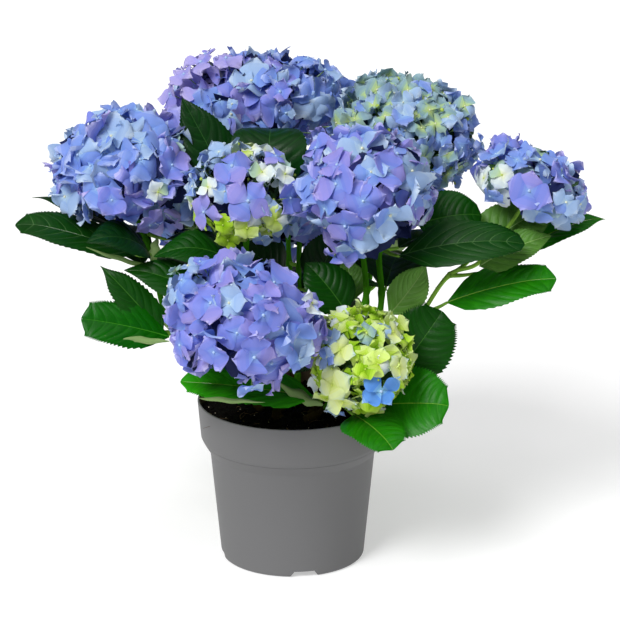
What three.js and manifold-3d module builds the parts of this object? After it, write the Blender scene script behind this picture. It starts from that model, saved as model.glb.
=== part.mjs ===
// A hydrangea in flower in its nursery pot. Millimetres, +Z up, X to the right, Y away from the viewer.
// The origin is the middle of the pot's flat underside.
import * as THREE from "three";
import { mergeVertices } from "three/addons/utils/BufferGeometryUtils.js";
import Module from "manifold-3d";

const wasm = await Module();
wasm.setup();
const { Manifold, Mesh: SolidMesh } = wasm;

const GAP = 0.3; // between solids that meet face to face

const POT = {
  height: 163,
  rimRadius: 94.6,
  bandRadius: 91.4, // lower end of the straight rim band
  bandHeight: 126,
  bodyRadius: 82.3, // where the body meets the shoulder under the rim
  bodyHeight: 110,
  shoulder: [90.3, 122.3], // radius and height that the rounded shoulder bends towards
  footRadius: 72,
  footRounding: 3.5,
  wall: 1.6,
  lip: 0.8,
  floorHeight: 9, // top of the raised floor inside
  ringWidth: 6, // flat ring that stands on the ground
  bossRadius: 30, // flat boss in the middle of the underside
  draft: 2, // how far upright walls lean in
  segments: 36,
  curveSteps: 3,
};
const NOTCH = { count: 4, first: -80.4, width: 30, topWidth: 20, height: 6, inset: 10, depth: 16, below: 1 };
const DRAIN = { count: 4, radius: 5, ring: 48, segments: 10 };
const SOIL = { top: 150, ease: 1, segments: 36 }; // ease is how far it keeps off the pot's shoulder

// A cane under the leaves has no step shorter than shortStep.
const CANE = {
  radius: 4.2,
  nodeRadius: 3.7,
  neckRadius: 3.1,
  stalkRadius: 2.6,
  sides: 7,
  steps: 5,
  shortStep: 15,
};
const FLARE = { radius: 6.4, height: 12 };
const LEAF = {
  length: 112,
  shape: 0.8, // under 1 puts the widest place nearer the base
  fullness: 0.75, // under 1 makes the outline rounder
  widthShare: 0.56,
  thickness: 2.2,
  fold: 0.16, // rise of the margins over the midrib, per millimetre of half width
  archShare: 0.13,
  stations: [0.19, 0.47, 0.77],
  tipHalf: 0.5, // half the breadth of the blunted tip
};
const PETIOLE = { radius: 2.2, tipRadius: 1.4, length: 26 };
const GROWTH = {
  span: 0.9, // share of the leafy stem over which pairs are spread
  sway: 0.5, // radians
  rise: -0.1, // radians over the level
  riseSway: 0.7,
  shortest: 0.82,
  lengthSway: 0.34,
  turns: [0, 0.25, -0.25, 0.5, -0.5, 0.75, -0.75], // radians that a leaf turns aside to find room
  lifts: [0, 0.3, -0.3, 0.6], // and radians that it lifts
};
// Least distances of a grown leaf, and least Y of its tip.
const CLEAR = { head: 3, limb: 9, leaf: 9, rim: 6, front: 20 };
// Seen from the front and a little above, grown leaves under this height stay between these sides.
const LOW = { sight: 17.7, under: 300, left: -140, right: 130 };
const SAMPLES = {
  along: [0, 0.12, 0.25, 0.37, 0.5, 0.62, 0.75, 0.87, 1],
  across: [-1, -0.5, 0, 0.5, 1],
  limb: 60,
};
const SEEDS = { leaves: 1, florets: 100 };

const HEAD = {
  neckShare: 0.82, // how far under its middle a head's stalk begins, per radius along its axis
  floretShare: 0.93, // where the middles of the florets lie, per radius
  dish: 0.16,
  power: 2.35, // over 2 squares the dome's shoulders
  notch: 0.68,
  sway: 0.14,
  root: 0.75, // how deep a floret's stalk is rooted, per radius of the core
};
const KINDS = {
  full: { core: 0.78, floret: 25, spread: 112, colour: 0x7f8fe0 },
  young: { core: 0.74, floret: 18, spread: 100, colour: 0xb4cf84 },
  loose: { core: 0.6, floret: 22, spread: 108, colour: 0x8b9ad0 },
};
const GOLDEN_ANGLE = Math.PI * (3 - Math.sqrt(5));

// Each shoot runs from its foot on the soil through its bends to the middle of its flower head. Its leaves
// begin at the first bend. A head has a middle, radii across and along its axis, and the way it faces.
// Leaves that frame the heads are placed one by one: how far up the leafy stem they spring, where the blade
// begins and ends, its width, the way its upper side faces and how high it arches. Pairs are grown by rule.
const SHOOTS = [
  {
    name: "left",
    foot: [-30, 5],
    bends: [[-115, 0, 230], [-140, 40, 300]],
    head: { kind: "full", at: [-167, 61, 381], across: 77, along: 63, faces: [-0.2, -0.2, 0.95], florets: 20 },
    pairs: 4,
    leaves: [
      { at: 0.02, base: [-133, -14, 238], tip: [-188, -5, 303], width: 34, face: [0.2, -0.9, 0.4], arch: 6 },
      { at: 0.02, base: [-128, -16, 234], tip: [-208, -33, 253], width: 48, face: [0, -0.8, 0.6], arch: 6 },
      { at: 0.5, base: [-156, 40, 300], tip: [-275, 41, 325], width: 67, face: [0, -0.35, 0.94], arch: 5 },
      { at: 0.5, base: [-141, 22, 306], tip: [-198, -22, 334], width: 52, face: [0, -0.5, 0.87], arch: 12 },
      { at: 0.62, base: [-166, 66, 316], tip: [-262, 104, 338], width: 34, face: [0, 0.3, 0.95], arch: 3 },
    ],
  },
  {
    name: "top",
    foot: [-10, 25],
    bends: [[-20, 80, 225]],
    head: { kind: "full", at: [-41, 169, 419], across: 99, along: 66, faces: [-0.05, 0.05, 1], florets: 24 },
    pairs: 4,
    leaves: [],
  },
  {
    name: "upper_right",
    foot: [32, 0],
    bends: [[84, -15, 250], [86, 10, 315], [105, 60, 342]],
    head: { kind: "full", at: [115, 95, 411], across: 78, along: 61, faces: [0.35, 0, 0.94], florets: 18 },
    pairs: 4,
    leaves: [
      { at: 0.02, base: [90, -22, 254], tip: [129, -2, 299], width: 44, face: [0.2, -0.9, 0.3], arch: 8 },
      { at: 0.35, base: [104, -30, 320], tip: [228, -37, 336], width: 66, face: [0, -0.6, 0.8], arch: 10 },
      { at: 0.55, base: [124, 20, 337], tip: [186, 19, 348], width: 48, face: [0, -0.75, 0.66], arch: 8 },
    ],
  },
  {
    name: "far_right",
    foot: [45, -8],
    bends: [[112, -14, 232], [152, 2, 288], [185, 10, 302]],
    head: { kind: "loose", at: [233, 22, 376], across: 66, along: 40, faces: [0.35, -0.1, 0.9], florets: 14 },
    pairs: 1,
    leaves: [
      { at: 0.12, base: [152, -16, 268], tip: [258, -19, 295], width: 46, face: [0, -0.55, 0.83], arch: 6 },
      { at: 0.36, base: [184, 30, 306], tip: [251, 46, 346], width: 50, face: [-0.3, -0.8, 0.5], arch: 8 },
      { at: 0.36, base: [180, 4, 292], tip: [250, 0, 322], width: 46, face: [0.2, 0.75, 0.6], arch: 8 },
      { at: 0.7, base: [226, 36, 306], tip: [311, 52, 337], width: 62, face: [0, -0.35, 0.94], arch: 6 },
    ],
  },
  {
    name: "centre",
    foot: [20, -12],
    bends: [[69, -20, 252], [69, -4, 320]],
    head: { kind: "full", at: [73, -42, 387], across: 68, along: 68, faces: [0.1, -0.75, 0.65], florets: 20 },
    pairs: 0,
    leaves: [
      { at: 0.03, base: [54, -25, 259], tip: [13, -5, 306], width: 50, face: [0.3, -0.85, 0.45], arch: 6 },
      { at: 0.1, base: [66, -4, 264], tip: [60, 24, 300], width: 34, face: [0, -0.9, 0.4], arch: 4 },
      { at: 0.1, base: [48, -24, 248], tip: [0, -34, 202], width: 44, face: [-0.3, -0.7, 0.6], arch: 4 },
    ],
  },
  {
    name: "small_centre",
    foot: [-12, 0],
    bends: [[-40, 0, 240]],
    head: { kind: "young", at: [-46, -14, 377], across: 60, along: 55, faces: [0, -0.6, 0.8], florets: 16 },
    pairs: 0,
    leaves: [
      { at: 0.1, base: [-72, -2, 262], tip: [-164, -4, 300], width: 44, face: [0, -0.6, 0.8], arch: 10 },
      { at: 0.6, base: [-62, 4, 306], tip: [-136, -3, 311], width: 44, face: [0, -0.45, 0.9], arch: 14 },
      { at: 0.84, base: [-52, 42, 350], tip: [-109, 69, 453], width: 54, face: [0.1, -0.95, 0.3], arch: 4 },
      { at: 0.8, base: [-25, 34, 348], tip: [-18, 76, 424], width: 74, face: [0, -0.85, 0.5], arch: 14 },
    ],
  },
  {
    name: "inner",
    foot: [5, 20],
    bends: [[5, 60, 230]],
    head: { kind: "full", at: [7, 78, 345], across: 46, along: 46, faces: [0, -0.2, 0.98], florets: 10 },
    pairs: 0,
    leaves: [
      { at: 0.3, base: [-8, 58, 272], tip: [-60, 34, 315], width: 56, face: [0, -0.8, 0.6], arch: 6 },
      { at: 0.3, base: [20, 50, 262], tip: [52, 34, 330], width: 50, face: [0, -0.8, 0.6], arch: 6 },
    ],
  },
  {
    name: "lower_left",
    foot: [-15, -20],
    bends: [[-20, -40, 200]],
    head: { kind: "full", at: [-46, -108, 278], across: 79, along: 78, faces: [-0.2, -0.8, 0.5], florets: 22 },
    pairs: 0,
    leaves: [
      { at: 0.2, base: [-42, -32, 216], tip: [-104, -20, 262], width: 44, face: [0, -0.3, 0.95], arch: 8 },
    ],
  },
  {
    name: "lower_right",
    foot: [15, -30],
    bends: [[36, -39, 170]],
    head: { kind: "young", at: [66, -74, 228], across: 57, along: 57, faces: [0.35, -0.7, 0.6], florets: 16 },
    pairs: 0,
    leaves: [
      { at: 0.7, base: [105, -34, 203], tip: [147, -25, 262], width: 66, face: [0.1, -0.9, 0.3], arch: 6 },
      { at: 0.4, base: [60, -74, 172], tip: [97, -129, 158], width: 56, face: [0, -0.3, 0.95], arch: 4 },
      { at: 0.5, base: [82, -58, 176], tip: [151, -84, 186], width: 74, face: [0.1, -0.75, 0.65], arch: 4 },
      { at: 0.5, base: [22, -70, 184], tip: [-110, -76, 199], width: 50, face: [0, -0.4, 0.9], arch: 3 },
    ],
  },
  {
    name: "back_left",
    foot: [-25, 30],
    bends: [[-72, 92, 202]],
    head: { kind: "full", at: [-110, 165, 315], across: 56, along: 56, faces: [-0.35, 0.5, 0.8], florets: 13 },
    pairs: 4,
    leaves: [],
  },
  {
    name: "back_right",
    foot: [25, 35],
    bends: [[66, 104, 204]],
    head: { kind: "full", at: [105, 195, 335], across: 56, along: 56, faces: [0.3, 0.55, 0.8], florets: 13 },
    pairs: 4,
    leaves: [],
  },
  {
    name: "back_low",
    foot: [0, 40],
    bends: [[0, 112, 192]],
    head: { kind: "full", at: [-5, 215, 295], across: 54, along: 54, faces: [0, 0.75, 0.65], florets: 13 },
    pairs: 4,
    leaves: [],
  },
];

const UP = new THREE.Vector3(0, 0, 1);
const vector = (xyz) => new THREE.Vector3(...xyz);
const radians = THREE.MathUtils.degToRad;

const MATERIALS = {
  pot: new THREE.MeshStandardMaterial({ color: 0x7a7b7d, roughness: 0.62, metalness: 0 }),
  soil: new THREE.MeshStandardMaterial({ color: 0x15110d, roughness: 1, metalness: 0 }),
  cane: new THREE.MeshStandardMaterial({ color: 0x3f7a20, roughness: 0.6, metalness: 0 }),
  leaf: new THREE.MeshStandardMaterial({ color: 0x1c5216, roughness: 0.5, metalness: 0 }),
};
for (const [kind, { colour }] of Object.entries(KINDS)) {
  MATERIALS[kind] = new THREE.MeshStandardMaterial({ color: colour, roughness: 0.7, metalness: 0 });
}

// Solids

function solidOf(geometry) {
  geometry.deleteAttribute("normal");
  geometry.deleteAttribute("uv");
  const merged = mergeVertices(geometry, 1e-4);
  return new Manifold(
    new SolidMesh({
      numProp: 3,
      vertProperties: new Float32Array(merged.attributes.position.array),
      triVerts: new Uint32Array(merged.index.array),
    }),
  );
}

function solidFrom(points, index) {
  return solidOf(new THREE.BufferGeometry().setFromPoints(points).setIndex(index));
}

function geometryOf(solid) {
  const { vertProperties, triVerts } = solid.getMesh();
  const geometry = new THREE.BufferGeometry();
  geometry.setAttribute("position", new THREE.BufferAttribute(new Float32Array(vertProperties), 3));
  geometry.setIndex(new THREE.BufferAttribute(new Uint32Array(triVerts), 1));
  geometry.computeVertexNormals();
  return geometry;
}

// Joins pieces into one body, with sealed hollows filled and loose scraps dropped.
function fuse(pieces) {
  const bodies = Manifold.union(pieces).decompose();
  return bodies.reduce((largest, body) => (body.volume() > largest.volume() ? body : largest));
}

function meshOf(name, solid, material) {
  const mesh = new THREE.Mesh(geometryOf(solid), material);
  mesh.name = name;
  return mesh;
}

// A repeatable stream of numbers from 0 to 1.
function stream(seed) {
  let state = seed >>> 0;
  return () => {
    state = (Math.imul(state, 1664525) + 1013904223) >>> 0;
    return state / 2 ** 32;
  };
}

// A closed tube through rings of equal size, capped flat at both ends.
function loft(rings) {
  const sides = rings[0].length;
  const last = (rings.length - 1) * sides;
  const index = [];
  for (let ring = 0; ring < last; ring += sides) {
    for (let i = 0; i < sides; i++) {
      const here = ring + i;
      const next = ring + ((i + 1) % sides);
      index.push(here, next, next + sides, here, next + sides, here + sides);
    }
  }
  for (let i = 1; i + 1 < sides; i++) {
    index.push(0, i + 1, i, last, last + i, last + i + 1);
  }
  return solidFrom(rings.flat(), index);
}

// A round limb through stops, each with a middle, the way the limb runs there and a radius.
function limb(stops, sides) {
  const across = new THREE.Vector3(1, 0, 0);
  const rings = stops.map(({ middle, along, radius }) => {
    across.addScaledVector(along, -across.dot(along)).normalize();
    const side = along.clone().cross(across);
    return Array.from({ length: sides }, (_, i) => {
      const turn = (i / sides) * 2 * Math.PI;
      return middle
        .clone()
        .addScaledVector(across, radius * Math.cos(turn))
        .addScaledVector(side, radius * Math.sin(turn));
    });
  });
  return loft(rings);
}

// Pot and soil

function potPath() {
  const { wall } = POT;
  const ring = POT.footRadius - POT.ringWidth;
  const under = POT.floorHeight - wall;
  const [shoulderRadius, shoulderHeight] = POT.shoulder;
  const path = new THREE.Path();
  path.moveTo(0, 0);
  path.lineTo(POT.bossRadius, 0);
  path.lineTo(POT.bossRadius + POT.draft, under);
  path.lineTo(ring - POT.draft, under);
  path.lineTo(ring, 0);
  path.lineTo(POT.footRadius - POT.footRounding, 0);
  path.quadraticCurveTo(POT.footRadius, 0, POT.footRadius, POT.footRounding);
  path.lineTo(POT.bodyRadius, POT.bodyHeight);
  path.quadraticCurveTo(...POT.shoulder, POT.bandRadius, POT.bandHeight);
  path.lineTo(POT.rimRadius, POT.height - POT.lip);
  path.lineTo(POT.rimRadius - POT.lip, POT.height);
  path.lineTo(POT.rimRadius - wall, POT.height);
  path.lineTo(POT.bandRadius - wall, POT.bandHeight);
  path.quadraticCurveTo(
    shoulderRadius - wall,
    shoulderHeight + wall,
    POT.bodyRadius - wall,
    POT.bodyHeight + wall,
  );
  path.lineTo(POT.footRadius - wall, POT.floorHeight);
  path.lineTo(POT.bossRadius, POT.floorHeight);
  path.lineTo(POT.bossRadius - POT.draft, wall);
  path.lineTo(0, wall);
  return path;
}

function turned(points, segments) {
  return new THREE.LatheGeometry(points, segments).rotateX(Math.PI / 2);
}

function pot() {
  const shell = solidOf(turned(potPath().getPoints(POT.curveSteps), POT.segments));
  const outline = new THREE.Shape();
  outline.moveTo(-NOTCH.width / 2, -NOTCH.below);
  outline.lineTo(NOTCH.width / 2, -NOTCH.below);
  outline.lineTo(NOTCH.topWidth / 2, NOTCH.height);
  outline.lineTo(-NOTCH.topWidth / 2, NOTCH.height);
  const cuts = [];
  for (let i = 0; i < NOTCH.count; i++) {
    const turn = radians(NOTCH.first) + (i / NOTCH.count) * 2 * Math.PI;
    const notch = new THREE.ExtrudeGeometry(outline, { depth: NOTCH.depth, bevelEnabled: false });
    notch.translate(0, 0, POT.footRadius - NOTCH.inset);
    notch.rotateX(Math.PI / 2).rotateZ(Math.PI + turn + Math.PI / 2);
    cuts.push(solidOf(notch));
  }
  for (let i = 0; i < DRAIN.count; i++) {
    const turn = radians(NOTCH.first) + ((i + 0.5) / DRAIN.count) * 2 * Math.PI;
    const hole = new THREE.CylinderGeometry(DRAIN.radius, DRAIN.radius, 3 * POT.wall, DRAIN.segments);
    hole.rotateX(Math.PI / 2);
    hole.translate(DRAIN.ring * Math.cos(turn), DRAIN.ring * Math.sin(turn), POT.floorHeight - POT.wall / 2);
    cuts.push(solidOf(hole));
  }
  return fuse([Manifold.difference([shell, ...cuts])]);
}

// The potting soil with its roots fills the pot to just under the rim.
function soil() {
  const inset = POT.wall + GAP;
  const rise = (SOIL.top - POT.bandHeight) / (POT.height - POT.bandHeight);
  const topRadius = THREE.MathUtils.lerp(POT.bandRadius, POT.rimRadius, rise) - inset;
  const path = new THREE.Path();
  path.moveTo(0, inset);
  path.lineTo(POT.bossRadius - POT.draft - 2 * GAP, inset);
  path.lineTo(POT.bossRadius - 2 * GAP, POT.floorHeight + GAP);
  path.lineTo(POT.footRadius - inset - GAP, POT.floorHeight + GAP);
  path.lineTo(POT.bodyRadius - inset - GAP, POT.bodyHeight + POT.wall + SOIL.ease);
  path.lineTo(POT.bandRadius - inset - SOIL.ease, POT.bandHeight + SOIL.ease);
  path.lineTo(topRadius, SOIL.top);
  path.lineTo(0, SOIL.top);
  return solidOf(turned(path.getPoints(), SOIL.segments));
}

// Shoots

function facing(shoot) {
  return vector(shoot.head.faces).normalize();
}

// One smooth curve from the soil to the middle of the head, and where on it the leaves and the stalk begin.
function course(shoot) {
  const middle = vector(shoot.head.at);
  const neck = middle.clone().addScaledVector(facing(shoot), -HEAD.neckShare * shoot.head.along);
  const points = [new THREE.Vector3(...shoot.foot, SOIL.top), ...shoot.bends.map(vector), neck, middle];
  const curve = new THREE.CatmullRomCurve3(points, false, "catmullrom", 0.5);
  const last = points.length - 1;
  return { curve, leafy: 1 / last, neck: (last - 1) / last };
}

function stopsAlong(curve, from, to, radiusFrom, radiusTo, steps) {
  return Array.from({ length: steps + 1 }, (_, i) => {
    const share = i / steps;
    const t = THREE.MathUtils.lerp(from, to, share);
    const radius = THREE.MathUtils.lerp(radiusFrom, radiusTo, share);
    return { middle: curve.getPoint(t), along: curve.getTangent(t), radius };
  });
}

// Draws the ends of a limb back so that it stops short of what it meets.
function shortened(stops, start, end) {
  stops[0].middle.addScaledVector(stops[0].along, start);
  stops.at(-1).middle.addScaledVector(stops.at(-1).along, -end);
  return stops;
}

function cane(shoot) {
  const { curve, leafy } = course(shoot);
  const foot = { middle: vector([...shoot.foot, SOIL.top + GAP]), along: UP, radius: FLARE.radius };
  const length = foot.middle.distanceTo(vector(shoot.bends[0]));
  const steps = Math.min(CANE.steps, Math.floor(length / CANE.shortStep));
  const stops = stopsAlong(curve, 0, leafy, CANE.radius, CANE.nodeRadius, steps);
  const lean = stops[0].along;
  stops[0] = {
    middle: foot.middle.clone().addScaledVector(lean, FLARE.height),
    along: lean.clone().add(UP).normalize(),
    radius: CANE.radius,
  };
  return limb([foot, ...shortened(stops, 0, GAP / 2)], CANE.sides);
}

// Leaves

function halfWidth(leaf, t) {
  return (leaf.width / 2) * Math.sin(Math.PI * t ** LEAF.shape) ** LEAF.fullness;
}

// A point of the blade: t runs from its base to its tip, across from its left margin at -1 to its right at 1.
function bladePoint(leaf, t, across) {
  const along = leaf.tip.clone().sub(leaf.base);
  const side = along.clone().cross(leaf.face).normalize();
  const up = side.clone().cross(along).normalize();
  const half = t < 1 ? halfWidth(leaf, t) : 0;
  return leaf.base
    .clone()
    .addScaledVector(along, t)
    .addScaledVector(side, across * half)
    .addScaledVector(up, leaf.arch * 4 * t * (1 - t) + LEAF.fold * Math.abs(across) * half);
}

// A thin closed leaf: its petiole from the middle of the stem, then top, right margin, underside and left
// margin at each station, and a blunt tip.
function leafSolid(leaf, start) {
  const along = leaf.tip.clone().sub(leaf.base).normalize();
  const side = along.clone().cross(leaf.face).normalize();
  const stalkAlong = leaf.base.clone().sub(start).normalize();
  const ring = (middle, way, radius) => {
    const right = side.clone().addScaledVector(way, -side.dot(way)).setLength(radius);
    const up = right.clone().cross(way);
    return [
      middle.clone().add(up),
      middle.clone().add(right),
      middle.clone().sub(up),
      middle.clone().sub(right),
    ];
  };
  const lift = side.clone().cross(along).multiplyScalar(LEAF.thickness / 2);
  return loft([
    ring(start, stalkAlong, PETIOLE.radius),
    ring(leaf.base, stalkAlong.clone().add(along).normalize(), PETIOLE.tipRadius),
    ...LEAF.stations.map((t) => {
      const middle = bladePoint(leaf, t, 0);
      return [
        middle.clone().add(lift),
        bladePoint(leaf, t, 1),
        middle.clone().sub(lift),
        bladePoint(leaf, t, -1),
      ];
    }),
    ring(leaf.tip, along, LEAF.tipHalf),
  ]);
}

function leafyStemPoint(shoot, at) {
  const { curve, leafy, neck } = course(shoot);
  return curve.getPoint(THREE.MathUtils.lerp(leafy, neck, at));
}

function placedLeaves(shoot) {
  return shoot.leaves.map((leaf) => ({
    ...leaf,
    base: vector(leaf.base),
    tip: vector(leaf.tip),
    face: vector(leaf.face),
  }));
}

// Opposite pairs, each turned a quarter from the pair below it. Each leaf is a list of the ways it may take.
function grownLeaves(shoot, random) {
  const outward = Math.atan2(shoot.head.at[1], shoot.head.at[0]);
  const leaves = [];
  for (let pair = 0; pair < shoot.pairs; pair++) {
    const share = (pair + 0.5) / shoot.pairs;
    const at = GROWTH.span * share;
    const start = leafyStemPoint(shoot, at);
    for (let half = 0; half < 2; half++) {
      const sway = GROWTH.sway * (random() - 0.5);
      const turn = outward + ((pair + 1) % 2) * (Math.PI / 2) + half * Math.PI + sway;
      const rise = GROWTH.rise + GROWTH.riseSway * (random() - 0.5);
      const length = LEAF.length * (GROWTH.shortest + GROWTH.lengthSway * random());
      leaves.push(
        GROWTH.lifts.flatMap((lift) =>
          GROWTH.turns.map((aside) => reachingLeaf(at, start, turn + aside, rise + lift, length)),
        ),
      );
    }
  }
  return leaves;
}

function reachingLeaf(at, start, turn, rise, length) {
  const level = new THREE.Vector3(Math.cos(turn), Math.sin(turn), 0);
  const way = level.clone().multiplyScalar(Math.cos(rise)).addScaledVector(UP, Math.sin(rise));
  return {
    at,
    base: start.clone().addScaledVector(way, PETIOLE.length),
    tip: start.clone().addScaledVector(way, PETIOLE.length + length),
    width: LEAF.widthShare * length,
    face: UP,
    arch: LEAF.archShare * length,
  };
}

function samplePoints(leaf) {
  return SAMPLES.along.flatMap((t) => SAMPLES.across.map((across) => bladePoint(leaf, t, across)));
}

// The radius of a head in the direction that has this cosine to its axis.
function domeRadius({ across, along }, cosine) {
  const sine = Math.sqrt(Math.max(0, 1 - cosine * cosine));
  return ((sine / across) ** HEAD.power + (Math.abs(cosine) / along) ** HEAD.power) ** (-1 / HEAD.power);
}

function distanceToHead(point, shoot) {
  const offset = point.clone().sub(vector(shoot.head.at));
  const length = offset.length();
  return length - domeRadius(shoot.head, offset.dot(facing(shoot)) / length);
}

function isWithin(point) {
  const seen = point.y * Math.sin(radians(LOW.sight)) + point.z * Math.cos(radians(LOW.sight));
  return seen > LOW.under || (point.x > LOW.left && point.x < LOW.right);
}

function isClear(leaf, shoot, taken, limbs) {
  if (leaf.tip.y < CLEAR.front || !isWithin(leaf.tip)) return false;
  const others = limbs.filter(({ owner }) => owner !== shoot).flatMap(({ points }) => points);
  return samplePoints(leaf).every((point) => {
    const overPot = Math.hypot(point.x, point.y) < POT.rimRadius + CLEAR.rim;
    if (overPot && point.z < POT.height + CLEAR.rim) return false;
    if (SHOOTS.some((other) => distanceToHead(point, other) < CLEAR.head)) return false;
    if (others.some((other) => other.distanceTo(point) < CLEAR.limb)) return false;
    return taken.every((other) => other.distanceTo(point) > CLEAR.leaf);
  });
}

// All leaves by shoot: the placed ones, then of the grown ones those that keep clear of everything.
function foliage() {
  const byShoot = new Map(SHOOTS.map((shoot) => [shoot, placedLeaves(shoot)]));
  const taken = [...byShoot.values()].flat().flatMap(samplePoints);
  const limbs = SHOOTS.map((owner) => ({ owner, points: course(owner).curve.getPoints(SAMPLES.limb) }));
  SHOOTS.forEach((shoot, i) => {
    for (const ways of grownLeaves(shoot, stream(SEEDS.leaves + i))) {
      const leaf = ways.find((way) => isClear(way, shoot, taken, limbs));
      if (!leaf) continue;
      byShoot.get(shoot).push(leaf);
      taken.push(...samplePoints(leaf));
    }
  });
  return byShoot;
}

function leafyStem(shoot, leaves) {
  const { curve, leafy, neck } = course(shoot);
  const stops = stopsAlong(curve, leafy, neck, CANE.nodeRadius, CANE.neckRadius, CANE.steps);
  const pieces = [limb(shortened(stops, GAP / 2, GAP / 2), CANE.sides)];
  for (const leaf of leaves) {
    pieces.push(leafSolid(leaf, leafyStemPoint(shoot, leaf.at)));
  }
  return fuse(pieces);
}

// Flower heads, made with the middle at the origin and facing up

// Four petals as tips and notches round a dished middle, drawn down to a stalk that roots in the core.
function floret(middle, out, spin, radius, stalk) {
  const across = UP.clone().cross(out).normalize();
  const side = out.clone().cross(across);
  const points = [middle.clone().addScaledVector(out, -HEAD.dish * radius)];
  const index = [];
  const corners = 8;
  for (let i = 0; i < corners; i++) {
    const turn = spin + (i / corners) * 2 * Math.PI;
    const reach = radius * (i % 2 === 0 ? 1 : HEAD.notch);
    points.push(
      middle
        .clone()
        .addScaledVector(across, reach * Math.cos(turn))
        .addScaledVector(side, reach * Math.sin(turn)),
    );
    const here = 1 + i;
    const next = 1 + ((i + 1) % corners);
    index.push(0, here, next, corners + 1, next, here);
  }
  points.push(middle.clone().addScaledVector(out, -stalk));
  return solidFrom(points, index);
}

function flowerHead(shoot, random) {
  const { across, along, florets, kind } = shoot.head;
  const { core, floret: floretRadius, spread } = KINDS[kind];
  const ball = new THREE.IcosahedronGeometry(1, 0).scale(across * core, across * core, along * core);
  const pieces = [solidOf(ball)];
  for (let i = 0; i < florets; i++) {
    const cosine = 1 - ((i + 0.5) / florets) * (1 - Math.cos(radians(spread)));
    const sine = Math.sqrt(1 - cosine * cosine);
    const turn = i * GOLDEN_ANGLE;
    const radius = domeRadius(shoot.head, cosine) * (HEAD.floretShare - HEAD.sway * random());
    const level = new THREE.Vector3(Math.cos(turn), Math.sin(turn), 0);
    const middle = level.clone().multiplyScalar(radius * sine).addScaledVector(UP, radius * cosine);
    const out = level.multiplyScalar((sine * along) / across).addScaledVector(UP, (cosine * across) / along);
    const stalk = radius - HEAD.root * core * Math.min(across, along);
    pieces.push(floret(middle, out.normalize(), random() * Math.PI, floretRadius, stalk));
  }
  return pieces;
}

function bloom(shoot, random) {
  const { curve, neck } = course(shoot);
  const frame = new THREE.Matrix4().compose(
    vector(shoot.head.at),
    new THREE.Quaternion().setFromUnitVectors(UP, facing(shoot)),
    new THREE.Vector3(1, 1, 1),
  );
  const stops = shortened(stopsAlong(curve, neck, 1, CANE.neckRadius, CANE.stalkRadius, 2), GAP / 2, 0);
  const inverse = frame.clone().invert();
  for (const stop of stops) {
    stop.middle.applyMatrix4(inverse);
    stop.along.transformDirection(inverse);
  }
  const solid = fuse([limb(stops, CANE.sides), ...flowerHead(shoot, random)]);
  const mesh = meshOf("bloom_" + shoot.name, solid, MATERIALS[shoot.head.kind]);
  frame.decompose(mesh.position, mesh.quaternion, mesh.scale);
  return mesh;
}

// The whole plant

const plant = new THREE.Group();
plant.add(meshOf("pot", pot(), MATERIALS.pot), meshOf("soil", soil(), MATERIALS.soil));
const leavesByShoot = foliage();
SHOOTS.forEach((shoot, i) => {
  const group = new THREE.Group();
  group.add(meshOf("cane_" + shoot.name, cane(shoot), MATERIALS.cane));
  group.add(meshOf("leaves_" + shoot.name, leafyStem(shoot, leavesByShoot.get(shoot)), MATERIALS.leaf));
  group.add(bloom(shoot, stream(SEEDS.florets + i)));
  plant.add(group);
});

export default plant;
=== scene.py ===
"""A hydrangea in flower in its nursery pot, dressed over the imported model.

Sizes are millimetres in the model's frame, and become metres where a mesh is made.
"""

import math
from dataclasses import dataclass, field, replace

import bpy
import numpy as np
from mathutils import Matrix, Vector, noise


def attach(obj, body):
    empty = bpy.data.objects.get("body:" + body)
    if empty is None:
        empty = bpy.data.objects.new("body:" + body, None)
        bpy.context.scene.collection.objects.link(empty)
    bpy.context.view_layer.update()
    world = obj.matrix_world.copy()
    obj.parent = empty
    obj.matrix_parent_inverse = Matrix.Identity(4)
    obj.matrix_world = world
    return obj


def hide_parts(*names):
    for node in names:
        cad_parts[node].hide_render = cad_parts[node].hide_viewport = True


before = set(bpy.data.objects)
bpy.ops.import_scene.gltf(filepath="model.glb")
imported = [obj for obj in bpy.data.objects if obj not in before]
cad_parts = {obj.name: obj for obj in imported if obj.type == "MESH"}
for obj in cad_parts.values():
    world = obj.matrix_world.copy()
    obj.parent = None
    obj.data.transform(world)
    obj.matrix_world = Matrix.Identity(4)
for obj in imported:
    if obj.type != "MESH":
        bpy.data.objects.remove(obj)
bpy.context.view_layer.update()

MM = 0.001  # metres in a millimetre
ROUND = 2 * math.pi
GOLDEN_ANGLE = math.pi * (3 - math.sqrt(5))
UP = np.array([0.0, 0.0, 1.0])
TINY = 1e-9  # keeps a length off zero
NUDGE = 1e-6  # turns a normal without length up

# The photograph's view: its camera stands this far from the target and looks down at it
VIEW = dict(target=(17.5, 0, 255.2), distance=3000, elevation=17.7, lens=176.4, sensor=36, pixels=620)
TARGET = np.array(VIEW["target"], float)
TILT = math.radians(VIEW["elevation"])
FOCAL = VIEW["lens"] / VIEW["sensor"] * VIEW["pixels"]
TO_CAMERA = np.array([0, -math.cos(TILT), math.sin(TILT)])
CLIP_END = 50  # metres
SIGHT_RANGE = (-350, 350, 1)

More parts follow.
